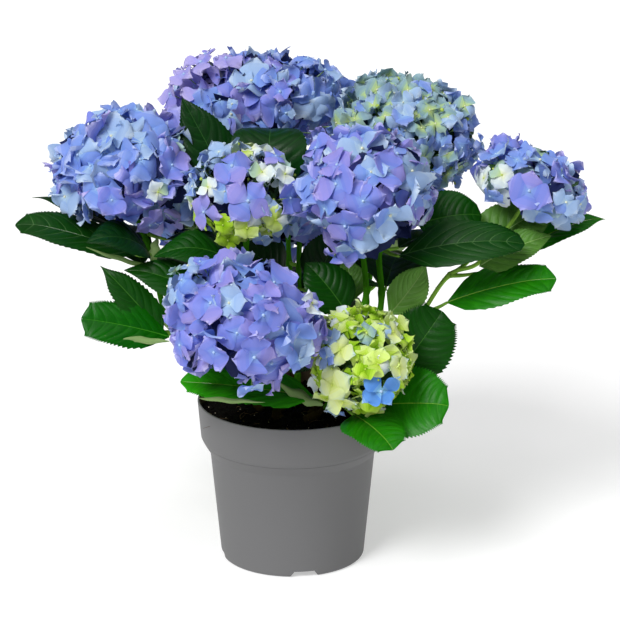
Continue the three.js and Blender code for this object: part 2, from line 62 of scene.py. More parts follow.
# The pot, as in the part's source
POT = dict(
    height=163, rim_radius=94.6, band_radius=91.4, band_height=126, body_radius=82.3, body_height=110,
    shoulder=(90.3, 122.3), foot_radius=72, foot_rounding=3.5, wall=1.6, lip=0.8, floor_height=9,
    ring_width=6, boss_radius=30, draft=2, segments=144, curve_steps=10, foot_steps=5, lip_cut=0.3, sharp=40,
)
GROOVE = dict(steps=400, place=0.57, span=4, depth=1.1)  # its place and span are along the shoulder's curve
NOTCH = dict(count=4, first=-80.4, width=30, top_width=20, height=6, inset=10, depth=16, below=1)
DRAIN = dict(count=4, radius=5, ring=48, segments=24, start=4, depth=6)  # start and depth are in walls
SOIL_TOP = 150

# The plant, as in the part's source
CANE = dict(radius=4.2, node_radius=3.7, neck_radius=3.1, stalk_radius=2.6)
FLARE = dict(radius=6.4, height=12)
LEAF = dict(length=112, shape=0.8, fullness=0.75, width_share=0.56, fold=0.16, arch_share=0.13)
PETIOLE = dict(radius=2.2, tip_radius=1.4, length=26)
GROWTH = dict(span=0.9, sway=0.5, rise=-0.1, rise_sway=0.7, shortest=0.82, length_sway=0.34)
TURNS = (0, 0.25, -0.25, 0.5, -0.5, 0.75, -0.75)
LIFTS = (0, 0.3, -0.3, 0.6)
CLEAR = dict(head=3, limb=9, leaf=9, rim=6, front=20)
LOW = dict(under=300, left=-140, right=130)
SAMPLES_ALONG = np.array([0, 0.12, 0.25, 0.37, 0.5, 0.62, 0.75, 0.87, 1])
SAMPLES_ACROSS = np.array([-1, -0.5, 0, 0.5, 1])
SAMPLES_LIMB = 60
LEAF_SEED = 1
STREAM = dict(factor=1664525, step=1013904223, size=2**32)
NECK_SHARE = 0.82
DOME_POWER = 2.35

# Stems, stalks and round beads
TUBE_END = 0.05  # a tube's ends are drawn together to this share of its radius
STEM = dict(steps=90, end_steps=10, sides=16, flute=0.035, node=1.1, node_reach=4.5, brown=16)
STEM_SPOTS = dict(count=40, first=2, radii=(0.3, 0.6), sunk=0.98)
LEAF_STALK = dict(steps=9, sides=8, thicker=0.3, sag=0.05, collar=0.9, collar_fade=14)
STRAND = dict(steps=4, sides=5, thick=0.95, thin=0.6, askew=(0.31, 0.95, 0.1))
FAN = dict(root=0.35, bend=0.55, dip=6, under=0.8)  # the stalks' fan from the top of a stem
BEAD = dict(rings=5, sides=7, top=0.15, bottom=-0.9, askew=(0.3, 0.1, 0.95))

SOIL = dict(lump=2.2, lump_size=14, grain=1.4, grain_size=3.5, gap=0.3, core=0.4, seed=5)
SOIL_GRID = dict(rings=60, segments=160)
SOIL_BITS = (("crumb", 900, 0.8, 2.6), ("crumb_pale", 160, 0.5, 1.3), ("fleck", 60, 0.4, 0.9))
SOIL_SPREAD = dict(bits=0.96, fibres=0.8, lean=0.5)
FIBRE = dict(count=70, reach=7, sway=2, rise=2.5, above=0.3, thick=0.32, thin=0.16)

# A blade: its rows follow the side veins
BLADE = dict(
    veins=7, first=0.05, last=0.86, stagger=0.03, bend=1.4, tip_from=0.74, tip_fall=1.5, cut_curve=0.07,
    halves_apart=0.25, odd=0.5, puff=1.25, puff_along=0.7, puff_across=0.4, puff_room=10,
    tooth_power=9, tooth_room=12, tooth_slant=0.9, thickness=0.35, thinner=0.5, steps=6,
)
BLADE_SWAY = dict(wave=(0.8, 2.2), phase=(0, 1), recurve=(0, 0.05))
BLADE_COLUMNS = np.array([0, 0.14, 0.3, 0.47, 0.64, 0.8, 0.93, 1])
CUT_LEAF = dict(
    t=(0, 0.04, 0.12, 0.3, 0.5, 0.7, 0.85, 0.95, 1),
    width=(0.04, 0.42, 0.78, 1, 1, 0.93, 0.8, 0.64, 0.42),
)
VEIN = dict(half=0.34, taper=0.85, rib=0.48, rib_taper=0.75, rib_most=0.5, keel=1.5, keel_taper=0.8)
MIDRIB = dict(steps=22, end=0.985, broad=1.25, above=0.12, sunk=0.25, under=0.3)
EDGE = dict(steps=18, columns=5, wave=0.25, waves=5, roll=0.3)

# A petal: its grid along and across, and the ring of colour of each face
PETALS = 4
RINGS = 7
PETAL = dict(over=1, least=0.5, opens=0.7, half=0.66, blunt_span=0.65, rise=0.1, cup=0.4, lap=0.05)
PLEAT = dict(depth=0.012, fades=5)
# The ranges of a floret's turn, of its petals' size and of each way that they bend and wave
RUFFLE = dict(
    turn=(-0.14, 0.14), length=(0.9, 1.08), width=(0.88, 1.12), rounding=(0.08, 0.2), slant=(-0.1, 0.1),
    end_wave=(0.01, 0.05), bow=(-0.09, 0.09), side_wave=(0.01, 0.05), cup=(-0.8, 1.0), own_cup=(-0.7, 0.7),
    trough=(-0.3, 0.18), crease=(-0.22, 0.14), twist=(-0.16, 0.16), end_swell=(0.02, 0.1),
    side_swell=(0.04, 0.14), hook=(-0.2, 0.38), phase=(0, 1),
)
# How many waves each kind has, and how far the last kind leans
WAVES = dict(end_wave=0.8, side_wave=1.2, end_swell=0.9, side_swell=1.3)
SWELL = dict(lean=1.5, power=2.5)
FLORET_ASKEW = (0.2, 0.3, 0.93)
OUTLINE = dict(
    u=(0, 0.12, 0.3, 0.48, 0.64, 0.8, 0.93, 1),
    sharp=(0.12, 0.3, 0.72, 1.0, 0.95, 0.64, 0.28, 0.05),
    blunt=(0.12, 0.26, 0.6, 0.88, 1.0, 0.94, 0.7, 0.34),
)
FINE_PETAL = dict(
    u=np.array([0.02, 0.13, 0.25, 0.39, 0.53, 0.67, 0.81, 0.92, 1]),
    v=np.array([-1, -0.8, -0.52, -0.26, 0, 0.26, 0.52, 0.8, 1]),
    rings=(0, 1, 2, 3, 3, 4, 5, 6),
)
SMALL_PETAL = dict(
    u=np.array([0.02, 0.2, 0.38, 0.56, 0.74, 0.9, 1]),
    v=np.array([-1, -0.66, -0.33, 0, 0.33, 0.66, 1]),
    rings=(0, 1, 3, 4, 5, 6),
)
SMALL_REACH = 16
PLAIN_PETAL = dict(
    u=np.array([0.03, 0.25, 0.5, 0.75, 1]), v=np.array([-1, -0.5, 0, 0.5, 1]), rings=(1, 2, 4, 5)
)
# The layers of florets in a head; the deep ones are painted in dark families, as painted shade.
LAYERS = (
    dict(share=1, level=0.99, inset=0.34, sway=0.2, tilt=0.36, petal=FINE_PETAL, deep=False),
    dict(share=0.55, level=0.77, inset=0.34, sway=0.08, tilt=0.3, petal=PLAIN_PETAL, deep=True),
    dict(share=0.25, level=0.58, inset=0.2, sway=0.08, tilt=0.3, petal=PLAIN_PETAL, deep=True),
)
FLORET = dict(reach=(0.82, 1.1), near_share=0.22, tint_share=0.85, seen=-0.1, eye=0.068, eye_rise=0.03)
# The florets that stand out: the room that others leave them per reach, and how they turn and lean apart
STAR = dict(room=0.8, turn=0.4, lean=0.7, bluntest=0.3, depth=4)
CURL = dict(least=1.05, top=0.6, star=0.75)  # the florets on top of a head are the most ruffled
BUD = dict(level=0.9, sway=0.2, radii=(1.2, 2.6))
SHOOT_SEED = 200


@dataclass
class Family:
    """The colours of a petal from its eye to its rim, the family of a few petals among its own, the colour
    of its eye, and the family of the florets inside the head, whose dark colours are painted shade."""

    colours: tuple
    near: str = ""
    eye: str = "eye_blue"
    # the dark family that the florets inside the head take: painted shade
    deep: str = "deep"


FAMILIES = dict(
    violet=Family(((138, 168, 228), (122, 140, 224), (140, 145, 223), (184, 184, 236)), "lilac"),
    blue=Family(((150, 186, 232), (122, 154, 226), (134, 158, 226), (178, 194, 236)), "sky"),
    sky=Family(((184, 210, 228), (156, 186, 226), (164, 190, 226), (194, 212, 232)), "blue", "eye_pale"),
    lilac=Family(((150, 166, 226), (142, 143, 220), (157, 150, 219), (190, 183, 233)), "blue"),
    mauve=Family(((166, 174, 230), (166, 160, 226), (178, 170, 224), (202, 194, 234)), "lilac"),
    aqua=Family(
        ((190, 212, 140), (158, 192, 164), (142, 174, 186), (164, 190, 200)), "sky", "eye_pale", "deep_green"
    ),
    lime=Family(
        ((132, 180, 18), (160, 206, 34), (182, 218, 72), (206, 228, 124)), "cream", "eye_green", "deep_green"
    ),
    cream=Family(
        ((182, 214, 66), (206, 230, 112), (218, 238, 146), (218, 236, 182)),
        "white", "eye_green", "deep_green",
    ),
    white=Family(
        ((226, 234, 190), (228, 236, 226), (216, 230, 236), (232, 238, 244)),
        "mint", "eye_green", "deep_green",
    ),
    mint=Family(
        ((190, 214, 140), (182, 208, 168), (170, 200, 184), (178, 204, 200)),
        "aqua", "eye_pale", "deep_green",
    ),
    pale=Family(((204, 222, 112), (220, 232, 150), (218, 232, 182), (200, 222, 218)), eye="eye_green"),
    azure=Family(((150, 204, 232), (92, 150, 232), (104, 160, 238), (168, 206, 242))),
    # Painted shade: the florets inside a head take these dark families in place of their own colours, to
    # stand for the shade between the outer florets.
    deep=Family(((30, 42, 92), (24, 34, 80), (28, 38, 82), (38, 50, 98))),
    deep_green=Family(((56, 94, 26), (52, 88, 34), (46, 76, 40), (50, 76, 52))),
)

# The greens of the leaves: a blade, its odd patches, its side veins and its midrib
GREENS = dict(
    dark=((6, 46, 9), (9, 53, 11), (22, 64, 21), (44, 86, 36)),
    gloss=((14, 60, 10), (18, 66, 13), (82, 118, 68), (62, 104, 50)),
    mid=((13, 65, 6), (16, 71, 8), (26, 80, 15), (58, 112, 36)),
    bright=((8, 84, 1), (11, 92, 2), (26, 102, 10), (54, 130, 26)),
    vivid=((26, 112, 4), (32, 120, 7), (46, 122, 18), (118, 172, 52)),
    lit=((42, 146, 12), (50, 156, 16), (72, 170, 30), (130, 188, 64)),
    light=((84, 132, 52), (92, 142, 58), (110, 154, 78), (150, 186, 110)),
    pale=((116, 170, 76), (122, 176, 82), (140, 186, 102), (168, 204, 124)),
)
LEAF_PARTS = ("leaf_{}", "leaf_{}_2", "vein_{}", "rib_{}")
GROWN_GREENS = ("dark", "dark", "dark", "mid", "mid")
COLOURS = dict(
    leaf_under=("under", (128, 156, 96)),
    vein_under=("under", (144, 168, 112)),
    rib_under=("under", (150, 170, 112)),
    cane_green=("stem", (60, 126, 20)),
    cane_pale=("stem", (138, 186, 72)),
    petiole=("stem", (116, 162, 62)),
    stalk=("stem", (130, 160, 110)),
    cane_foot=("stem", (58, 48, 26)),
    spot=("stem", (96, 74, 44)),
    bud=("petal", (190, 214, 96)),
    eye_blue=("petal", (190, 216, 244)),
    eye_pale=("petal", (238, 240, 214)),
    eye_green=("petal", (206, 222, 110)),
    pot_outside=("plastic", (101, 101, 102)),
    pot_inside=("plastic", (84, 66, 52)),
    compost=("soil", (10, 8, 7)),
    crumb=("soil", (13, 10, 9)),
    crumb_pale=("soil", (26, 20, 15)),
    fleck=("soil", (170, 160, 140)),
    fibre=("soil", (92, 74, 52)),
    floor=("floor", (204, 204, 204)),
)
for green, colours in GREENS.items():
    for part, colour in zip(LEAF_PARTS, colours):
        COLOURS[part.format(green)] = ("leaf", colour)


@dataclass
class Finish:
    """A surface's gloss, the strength and size of its mottling, its relief, which is noise or the edges of
    cells, and how much light comes through it."""

    roughness: float
    specular: float
    mottle: float
    mottle_scale: float
    bump: float
    bump_scale: float
    bump_depth: float
    through: float = 0.0
    sheen: float = 0.0
    tint: tuple = (1, 1, 1)  # how much the mottling takes from red, green and blue
    cells: bool = False


FINISHES = dict(
    petal=Finish(0.65, 0.15, 0.1, 60, 0.15, 500, 0.4, through=0.25, sheen=0.05, tint=(1, 1, 0.5)),
    leaf=Finish(0.36, 0.14, 0.22, 45, 0.35, 420, 0.5, through=0.1, cells=True),
    under=Finish(0.7, 0.15, 0.12, 60, 0.3, 420, 0.4, through=0.1, cells=True),
    stem=Finish(0.7, 0.0, 0.2, 40, 0.3, 300, 0.5),
    plastic=Finish(0.55, 0.4, 0.04, 9, 0.12, 900, 0.2),
    soil=Finish(0.95, 0.06, 0.5, 150, 0.8, 600, 1.0),
    floor=Finish(0.9, 0.1, 0.004, 3, 0.02, 60, 0.1),
)
NOISE_DETAIL = dict(mottle=3, relief=4)
LIGHT = dict(world=0.2, backdrop=1.0, floor_glow=0.46)
FLOOR = dict(half=9000, below=0.2)
# Wide soft lamps: azimuth from the front towards the right, elevation, strength and angle
SUNS = (("key", -34, 44, 2.95, 26), ("top", 20, 78, 1.0, 60))


@dataclass
class Head:
    """A flower head: its middle, its radii across and along its axis, and the way it faces."""

    at: tuple
    across: float
    along: float
    faces: tuple

    def __post_init__(self):
        self.at = np.array(self.at, float)


@dataclass
class Leaf:
    """A leaf: how far up the leafy stem it springs, its blade's ends and width, how it faces, its arch."""

    at: float
    base: tuple
    tip: tuple
    width: float
    face: tuple
    arch: float
    green: str = ""
    droop: float = 0.1  # fall of the margins, per millimetre of half width
    ripple: float = 1.6  # waves of the margins
    blunt: float = 0.0  # 1 cuts the tip off
    narrow: float = 0.3  # how much the tip narrows
    shape: float = 0.8  # the broadest place is nearer the tip for more
    sweep: float = 0.8  # how far the side veins run towards the tip
    tooth: float = 0.8
    shown: dict = field(default_factory=dict)  # what its blade has otherwise than its solid

    def __post_init__(self):
        self.base = np.array(self.base, float)
        self.tip = np.array(self.tip, float)


@dataclass
class Shoot:
    """A shoot from its foot on the soil through its bends to its flower head."""

    name: str
    foot: tuple
    bends: list
    head: Head
    pairs: int = 0
    leaves: list = field(default_factory=list)
    girth: float = 0.8
    green: str = "cane_green"


SHOOTS = [
    Shoot(
        "left",
        (-30, 5),
        [(-115, 0, 230), (-140, 40, 300)],
        Head((-167, 61, 381), 77, 63, (-0.2, -0.2, 0.95)),
        4,
        [
            Leaf(0.02, (-133, -14, 238), (-188, -5, 303), 34, (0.2, -0.9, 0.4), 6, "mid", narrow=0.8,
                tooth=1.4, shown=dict(base=(-127, -15, 235), shape=0.7)),
            Leaf(0.02, (-128, -16, 234), (-208, -33, 253), 48, (0, -0.8, 0.6), 6, "bright", tooth=2.2,
                shown=dict(base=(-121, -17, 233), tip=(-206, -33, 257), width=43, shape=1.15, blunt=1)),
            Leaf(0.5, (-156, 40, 300), (-275, 41, 325), 67, (0, -0.35, 0.94), 5, "gloss",
                shown=dict(tip=(-274, 41, 335), width=52, shape=0.7, blunt=0.9, tooth=1.6)),
            Leaf(0.5, (-141, 22, 306), (-198, -22, 334), 52, (0, -0.5, 0.87), 12, "dark"),
            Leaf(0.62, (-166, 66, 316), (-262, 104, 338), 34, (0, 0.3, 0.95), 3, "dark",
                shown=dict(tip=(-263, 104, 346), face=(0, 0.02, 1))),
        ],
    ),
    Shoot("top", (-10, 25), [(-20, 80, 225)], Head((-41, 169, 419), 99, 66, (-0.05, 0.05, 1)), 4),
    Shoot(
        "upper_right",
        (32, 0),
        [(84, -15, 250), (86, 10, 315), (105, 60, 342)],
        Head((115, 95, 411), 78, 61, (0.35, 0, 0.94)),
        4,
        [
            Leaf(0.02, (90, -22, 254), (129, -2, 299), 44, (0.2, -0.9, 0.3), 8, "pale", sweep=1.1,
                shown=dict(base=(95, -12, 254), tip=(132, 6, 299), width=38)),
            Leaf(0.35, (104, -30, 320), (228, -37, 336), 66, (0, -0.6, 0.8), 10, "gloss", ripple=2.2,
                sweep=1.1, shown=dict(width=53, tip=(225, -37, 336), blunt=0.5)),
            Leaf(0.55, (124, 20, 337), (186, 19, 348), 48, (0, -0.75, 0.66), 8, "mid",
                shown=dict(width=56, blunt=0.5)),
        ],
    ),
    Shoot(
        "far_right",
        (45, -8),
        [(112, -14, 232), (152, 2, 288), (185, 10, 302)],
        Head((233, 22, 376), 66, 40, (0.35, -0.1, 0.9)),
        1,
        [
            Leaf(0.12, (152, -16, 268), (258, -19, 295), 46, (0, -0.55, 0.83), 6, "vivid",
                blunt=1, tooth=1.3),
            Leaf(0.36, (184, 30, 306), (251, 46, 346), 50, (-0.3, -0.8, 0.5), 8, "light",
                shown=dict(width=58, blunt=0.6)),
            Leaf(0.36, (180, 4, 292), (250, 0, 322), 46, (0.2, 0.75, 0.6), 8, "light",
                shown=dict(base=(184, 4, 299), tip=(254, 0, 332), face=(-0.2, -0.75, 0.6), width=38)),
            Leaf(0.7, (226, 36, 306), (311, 52, 337), 62, (0, -0.35, 0.94), 6, "vivid",
                shown=dict(width=38, narrow=0.6)),
        ],
        girth=0.62,
        green="cane_pale",
    ),
    Shoot(
        "centre",
        (20, -12),
        [(69, -20, 252), (69, -4, 320)],
        Head((73, -42, 387), 68, 68, (0.1, -0.75, 0.65)),
        leaves=[
            Leaf(0.03, (54, -25, 259), (13, -5, 306), 50, (0.3, -0.85, 0.45), 6, "mid"),
            Leaf(0.1, (66, -4, 264), (60, 24, 300), 34, (0, -0.9, 0.4), 4, "light",
                shown=dict(base=(60, 8, 262), tip=(54, 30, 300), width=30)),
            Leaf(0.1, (48, -24, 248), (0, -34, 202), 44, (-0.3, -0.7, 0.6), 4, "dark"),
        ],
    ),
    Shoot(
        "small_centre",
        (-12, 0),
        [(-40, 0, 240)],
        Head((-46, -14, 377), 60, 55, (0, -0.6, 0.8)),
        leaves=[
            Leaf(0.1, (-72, -2, 262), (-164, -4, 300), 44, (0, -0.6, 0.8), 10, "mid"),
            Leaf(0.6, (-62, 4, 306), (-136, -3, 311), 44, (0, -0.45, 0.9), 14, "mid"),
            Leaf(0.84, (-52, 42, 350), (-109, 69, 453), 54, (0.1, -0.95, 0.3), 4, "dark"),
            Leaf(0.8, (-25, 34, 348), (-18, 76, 424), 74, (0, -0.85, 0.5), 14, "dark",
                shown=dict(tip=(-20, 108, 408), face=(0, -0.6, 0.8), arch=50)),
        ],
    ),
    Shoot(
        "inner",
        (5, 20),
        [(5, 60, 230)],
        Head((7, 78, 345), 46, 46, (0, -0.2, 0.98)),
        leaves=[
            Leaf(0.3, (-8, 58, 272), (-60, 34, 315), 56, (0, -0.8, 0.6), 6, "dark"),
            Leaf(0.3, (20, 50, 262), (52, 34, 330), 50, (0, -0.8, 0.6), 6, "dark"),
        ],
    ),
    Shoot(
        "lower_left",
        (-15, -20),
        [(-20, -40, 200)],
        Head((-46, -108, 278), 79, 78, (-0.2, -0.8, 0.5)),
        leaves=[Leaf(0.2, (-42, -32, 216), (-104, -20, 262), 44, (0, -0.3, 0.95), 8, "dark")],
    ),
    Shoot(
        "lower_right",
        (15, -30),
        [(36, -39, 170)],
        Head((66, -74, 228), 57, 57, (0.35, -0.7, 0.6)),
        leaves=[
            Leaf(0.7, (105, -34, 203), (147, -25, 262), 66, (0.1, -0.9, 0.3), 6, "mid",
                tooth=2.4, blunt=0.7),
            Leaf(0.4, (60, -74, 172), (97, -129, 158), 56, (0, -0.3, 0.95), 4, "vivid",
                tooth=2.1, blunt=0.7),
            Leaf(0.5, (82, -58, 176), (151, -84, 186), 74, (0.1, -0.75, 0.65), 4, "vivid",
                tooth=2.1, blunt=0.7),
            Leaf(0.5, (22, -70, 184), (-110, -76, 199), 50, (0, -0.4, 0.9), 3, "lit", tooth=2.4,
                shown=dict(base=(22, -70, 188), tip=(-108, -76, 207), blunt=0.8)),
        ],
    ),
    Shoot("back_left", (-25, 30), [(-72, 92, 202)], Head((-110, 165, 315), 56, 56, (-0.35, 0.5, 0.8)), 4),
    Shoot("back_right", (25, 35), [(66, 104, 204)], Head((105, 195, 335), 56, 56, (0.3, 0.55, 0.8)), 4),
    Shoot("back_low", (0, 40), [(0, 112, 192)], Head((-5, 215, 295), 54, 54, (0, 0.75, 0.65)), 4),
]


@dataclass
class Edge:
    """A curled edge of a leaf that shows its underside: on which shoot, its ends, width, face and sag."""

    shoot: str
    start: tuple
    end: tuple
    width: float
    face: tuple
    sag: float


EDGES = (
    Edge("left", (-139, 12, 297), (-200, -26, 328), 6, (0, -0.7, 0.7), 3),
    Edge("left", (-139, 19, 299), (-134, 32, 322), 11, (0, -0.9, 0.4), 2),
    Edge("left", (-120, -33, 234), (-183, -44, 243), 7, (0, -0.8, 0.6), 2),
    Edge("lower_right", (30, -76, 184), (-15, -78, 208), 13, (0, -0.6, 0.8), 2),
    Edge("lower_right", (-89, -125, 207), (-25, -120, 201), 5, (0, -0.9, 0.4), 3),
)


@dataclass
class Star:
    """A floret that stands out: where the photograph shows its eye, its family, its reach, and how far it
    leans to the right and up."""

    across: float
    down: float
    family: str
    reach: float
    right: float = 0
    up: float = 0
    slim: float = 0.84  # its petals' width, to those of the others


@dataclass
class Patch:
    """A round place of the photograph, and the family of the florets there."""

    across: float
    down: float
    radius: float
    family: str = ""


@dataclass
class Look:
    """How a head flowers: the record's slot, how far its petals reach, how many florets it has, the mixture
    of families, the tinted patches, the florets that stand out, and the patches without any."""

    slot: str
    reach: float
    count: int
    mixture: dict
    spread: float = 118
    curl: float = 0.6
    bluntest: float = 1
    tints: tuple = ()
    stars: tuple = ()
    bare: tuple = ()
    fit: tuple = (1, 1, 1)  # how far it fills its dome to either side, front to back, and up
    buds: int = 0


LOOKS = dict(
    left=Look(
        "blossom_blue",
        21.5,
        102,
        dict(blue=6, sky=3, violet=3),
        curl=1.3,
        tints=(Patch(178, 165, 30, "violet"), Patch(185, 155, 12, "mint")),
        stars=(
            Star(117, 112, "blue", 18, up=0.6), Star(99, 118, "violet", 18, up=0.5),
            Star(137, 110, "blue", 17, up=0.6), Star(158, 192, "white", 13), Star(172, 165, "violet", 19),
            Star(150, 225, "violet", 18), Star(112, 200, "violet", 17),
        ),
        bare=(Patch(58, 104, 40), Patch(98, 84, 32), Patch(84, 232, 26), Patch(160, 252, 17)),
    ),
    top=Look(
        "blossom_blue",
        22,
        132,
        dict(blue=5, violet=4, sky=2),
        curl=1.3,
        spread=108,
        tints=(Patch(200, 68, 27, "mauve"), Patch(300, 75, 30, "blue"), Patch(175, 100, 18, "mauve")),
        stars=(
            Star(205, 54, "mauve", 19, right=-0.2, up=0.7), Star(184, 74, "mauve", 19, right=-0.5, up=0.4),
            Star(170, 94, "mauve", 18, right=-0.6, up=0.2), Star(280, 92, "violet", 24),
            Star(232, 104, "sky", 14), Star(286, 113, "blue", 20),
            Star(201, 62, "mauve", 22, right=-0.4, up=0.5), Star(226, 58, "mauve", 22, up=0.5),
            Star(308, 58, "blue", 20, right=0.1, up=0.6), Star(325, 70, "blue", 19, right=0.5, up=0.4),
            Star(333, 84, "blue", 18, right=0.5), Star(304, 140, "blue", 16, up=-0.4),
            Star(318, 134, "violet", 16, up=-0.3), Star(333, 127, "blue", 16, right=0.3, up=-0.3),
        ),
        bare=(Patch(150, 52, 34), Patch(268, 12, 36), Patch(268, 146, 20), Patch(235, 150, 22)),
        fit=(1.01, 0.86, 0.86),
    ),
    upper_right=Look(
        "blossom_blue",
        14,
        165,
        dict(aqua=6, sky=1, blue=4, mint=1),
        curl=1.3,
        bluntest=0.6,
        tints=(
            Patch(375, 95, 26, "aqua"), Patch(440, 130, 14, "mint"), Patch(470, 150, 34, "blue"),
            Patch(358, 110, 16, "mint"), Patch(450, 95, 20, "aqua"),
        ),
        stars=(Star(410, 150, "sky", 14, up=-0.3), Star(424, 158, "aqua", 13, up=-0.3)),
        bare=(Patch(418, 46, 38),),
        buds=50,
        fit=(1.04, 1, 0.98),
    ),
    far_right=Look(
        "blossom_lilac",
        20,
        50,
        dict(violet=4, sky=1, blue=4, aqua=2),
        spread=100,
        curl=1.1,
        bare=(Patch(508, 228, 27), Patch(543, 240, 24)),
        fit=(0.97, 1, 1),
        tints=(Patch(495, 180, 22, "white"), Patch(580, 195, 22, "sky"), Patch(570, 215, 20, "sky")),
        stars=(
            Star(529, 191, "violet", 24), Star(540, 160, "sky", 20, up=0.3),
            Star(562, 176, "violet", 19, right=0.5), Star(502, 175, "white", 15), Star(517, 160, "blue", 14),
            Star(484, 178, "white", 13, right=-0.4), Star(490, 196, "blue", 15, right=-0.5, up=-0.6),
            Star(566, 202, "sky", 17, up=-0.6), Star(580, 204, "sky", 16, right=0.3, up=-0.6),
        ),
    ),
    centre=Look(
        "blossom_blue",
        25,
        66,
        dict(violet=7, lilac=1, blue=3, sky=1),
        curl=1.2,
        tints=(Patch(415, 185, 20, "sky"), Patch(365, 165, 10, "sky")),
        stars=(
            Star(316, 148, "violet", 20, right=-0.4, up=0.4), Star(334, 257, "violet", 17, up=-0.8),
            Star(352, 250, "blue", 17, up=-0.6), Star(336, 184, "violet", 25), Star(337, 165, "lilac", 22),
            Star(371, 172, "sky", 18), Star(388, 171, "violet", 25), Star(363, 201, "violet", 22),
            Star(345, 226, "violet", 25), Star(325, 209, "blue", 18),
            Star(390, 215, "sky", 24, right=0.2, up=-0.6), Star(415, 209, "lilac", 16, right=0.2),
        ),
        bare=(Patch(446, 262, 58), Patch(388, 290, 58), Patch(455, 205, 26)),
        fit=(0.97, 1, 1),
    ),
    small_centre=Look(
        "blossom_green",
        14,
        64,
        dict(cream=1, white=2, sky=2),
        curl=1.0,
        bluntest=0.5,
        spread=108,
        tints=(Patch(235, 240, 38, "lime"), Patch(280, 168, 28, "white"), Patch(215, 180, 24, "sky")),
        stars=(
            Star(248, 201, "violet", 27, slim=0.7), Star(232, 166, "violet", 25, up=0.2, slim=0.7),
            Star(290, 198, "violet", 21, right=0.3, slim=0.7),
            Star(204, 212, "lilac", 21, right=-0.4, slim=0.7),
            Star(219, 152, "sky", 14, up=0.5), Star(208, 187, "white", 12),
            Star(276, 156, "violet", 14, up=0.6), Star(262, 172, "white", 14), Star(285, 174, "white", 15),
            Star(247, 228, "cream", 17),
            Star(228, 240, "lime", 14), Star(223, 225, "lime", 12), Star(276, 220, "cream", 15),
            Star(299, 228, "blue", 15, right=0.4), Star(262, 240, "sky", 12, up=-0.5),
        ),
        buds=24,
        fit=(1, 1, 0.92),
    ),
    inner=Look("blossom_blue", 20, 34, dict(blue=5, violet=1)),
    lower_left=Look(
        "blossom_blue",
        25,
        74,
        dict(violet=7, lilac=1, blue=3, sky=1),
        curl=1.2,
        tints=(Patch(175, 300, 18, "sky"), Patch(180, 262, 16, "aqua"), Patch(300, 360, 14, "blue")),
        stars=(
            Star(211, 303, "violet", 24), Star(229, 303, "sky", 18), Star(263, 297, "lilac", 22),
            Star(263, 315, "violet", 25), Star(237, 333, "violet", 22), Star(254, 357, "violet", 25),
            Star(299, 360, "blue", 17, right=0.4, slim=0.7), Star(319, 334, "lilac", 20, right=0.4),
            Star(312, 303, "white", 14, right=0.3), Star(214, 352, "violet", 19, right=-0.2, up=-0.3),
            Star(175, 270, "aqua", 16, right=-0.3, up=0.4), Star(168, 286, "sky", 17, right=-0.5),
            Star(188, 266, "sky", 18, right=-0.2, up=0.4), Star(182, 280, "blue", 18, right=-0.4, up=0.2),
            Star(176, 298, "blue", 17, right=-0.5), Star(200, 262, "violet", 17, up=0.5),
            Star(252, 388, "blue", 18, up=-0.7), Star(180, 345, "violet", 18, right=-0.6),
        ),
        bare=(
            Patch(320, 248, 54), Patch(162, 392, 50), Patch(208, 420, 62), Patch(312, 414, 38),
            Patch(250, 228, 32),
        ),
        fit=(1, 1, 0.83),
    ),
    lower_right=Look(
        "blossom_green",
        13,
        120,
        dict(lime=7, cream=4),
        curl=1.2,
        bluntest=0.25,
        fit=(0.96, 1, 1),
        tints=(Patch(335, 390, 24, "cream"), Patch(400, 405, 14, "cream"), Patch(340, 325, 16, "cream")),
        stars=(
            Star(381, 391, "azure", 25, slim=0.7), Star(332, 385, "pale", 20, right=-0.2),
            Star(343, 402, "pale", 18, up=-0.3), Star(331, 338, "sky", 11),
            Star(327, 357, "sky", 12, right=-0.5), Star(340, 350, "pale", 16), Star(366, 333, "aqua", 12),
            Star(384, 330, "aqua", 10),
            Star(393, 332, "pale", 14), Star(378, 364, "cream", 16), Star(399, 368, "pale", 15, right=0.3),
            Star(336, 413, "sky", 11, up=-0.6),
        ),
        buds=50,
    ),
    back_left=Look("blossom_blue", 21, 50, dict(blue=4, violet=3, sky=1, lilac=1)),
    back_right=Look("blossom_blue", 21, 50, dict(blue=4, violet=3, sky=1, lilac=1)),
    back_low=Look("blossom_blue", 21, 48, dict(blue=4, violet=4, sky=1)),
)


def unit(vectors):
    vectors = np.asarray(vectors, float)
    return vectors / np.linalg.norm(vectors, axis=-1, keepdims=True)


def mix(a, b, share):
    return a + (b - a) * share


def arched(height, t):
    """How high an arch over 0 to 1 is at t, from its height in the middle."""
    return height * 4 * t * (1 - t)


def quadratic(start, towards, end, share):
    """Points on a curve that leaves its start towards a point."""
    return (1 - share) ** 2 * start + 2 * share * (1 - share) * towards + share**2 * end


def on_circle(radius, angle):
    return radius * math.cos(angle), radius * math.sin(angle)


def circle(turn, across, side):
    """The ways at these turns from across towards the side."""
    return np.cos(turn) * across + np.sin(turn) * side


def around(count):
    """The angles of so many even steps round."""
    return np.arange(count) / count * ROUND


def crosswise(ways, askew):
    """Two directions square to each way and to each other."""
    across = unit(np.cross(np.array(askew), ways) + TINY)
    return across, np.cross(ways, across)


# Meshes


def grid(rows, columns, wrap=False):
    """The corners of the faces between rows of points, with the last column joined to the first by wrap."""
    row = np.arange(rows - 1)[:, None] * columns
    column = np.arange(columns if wrap else columns - 1)[None, :]
    here, after = row + column, row + (column + 1) % columns
    return np.stack([here, after, after + columns, here + columns], -1).reshape(-1, 4)


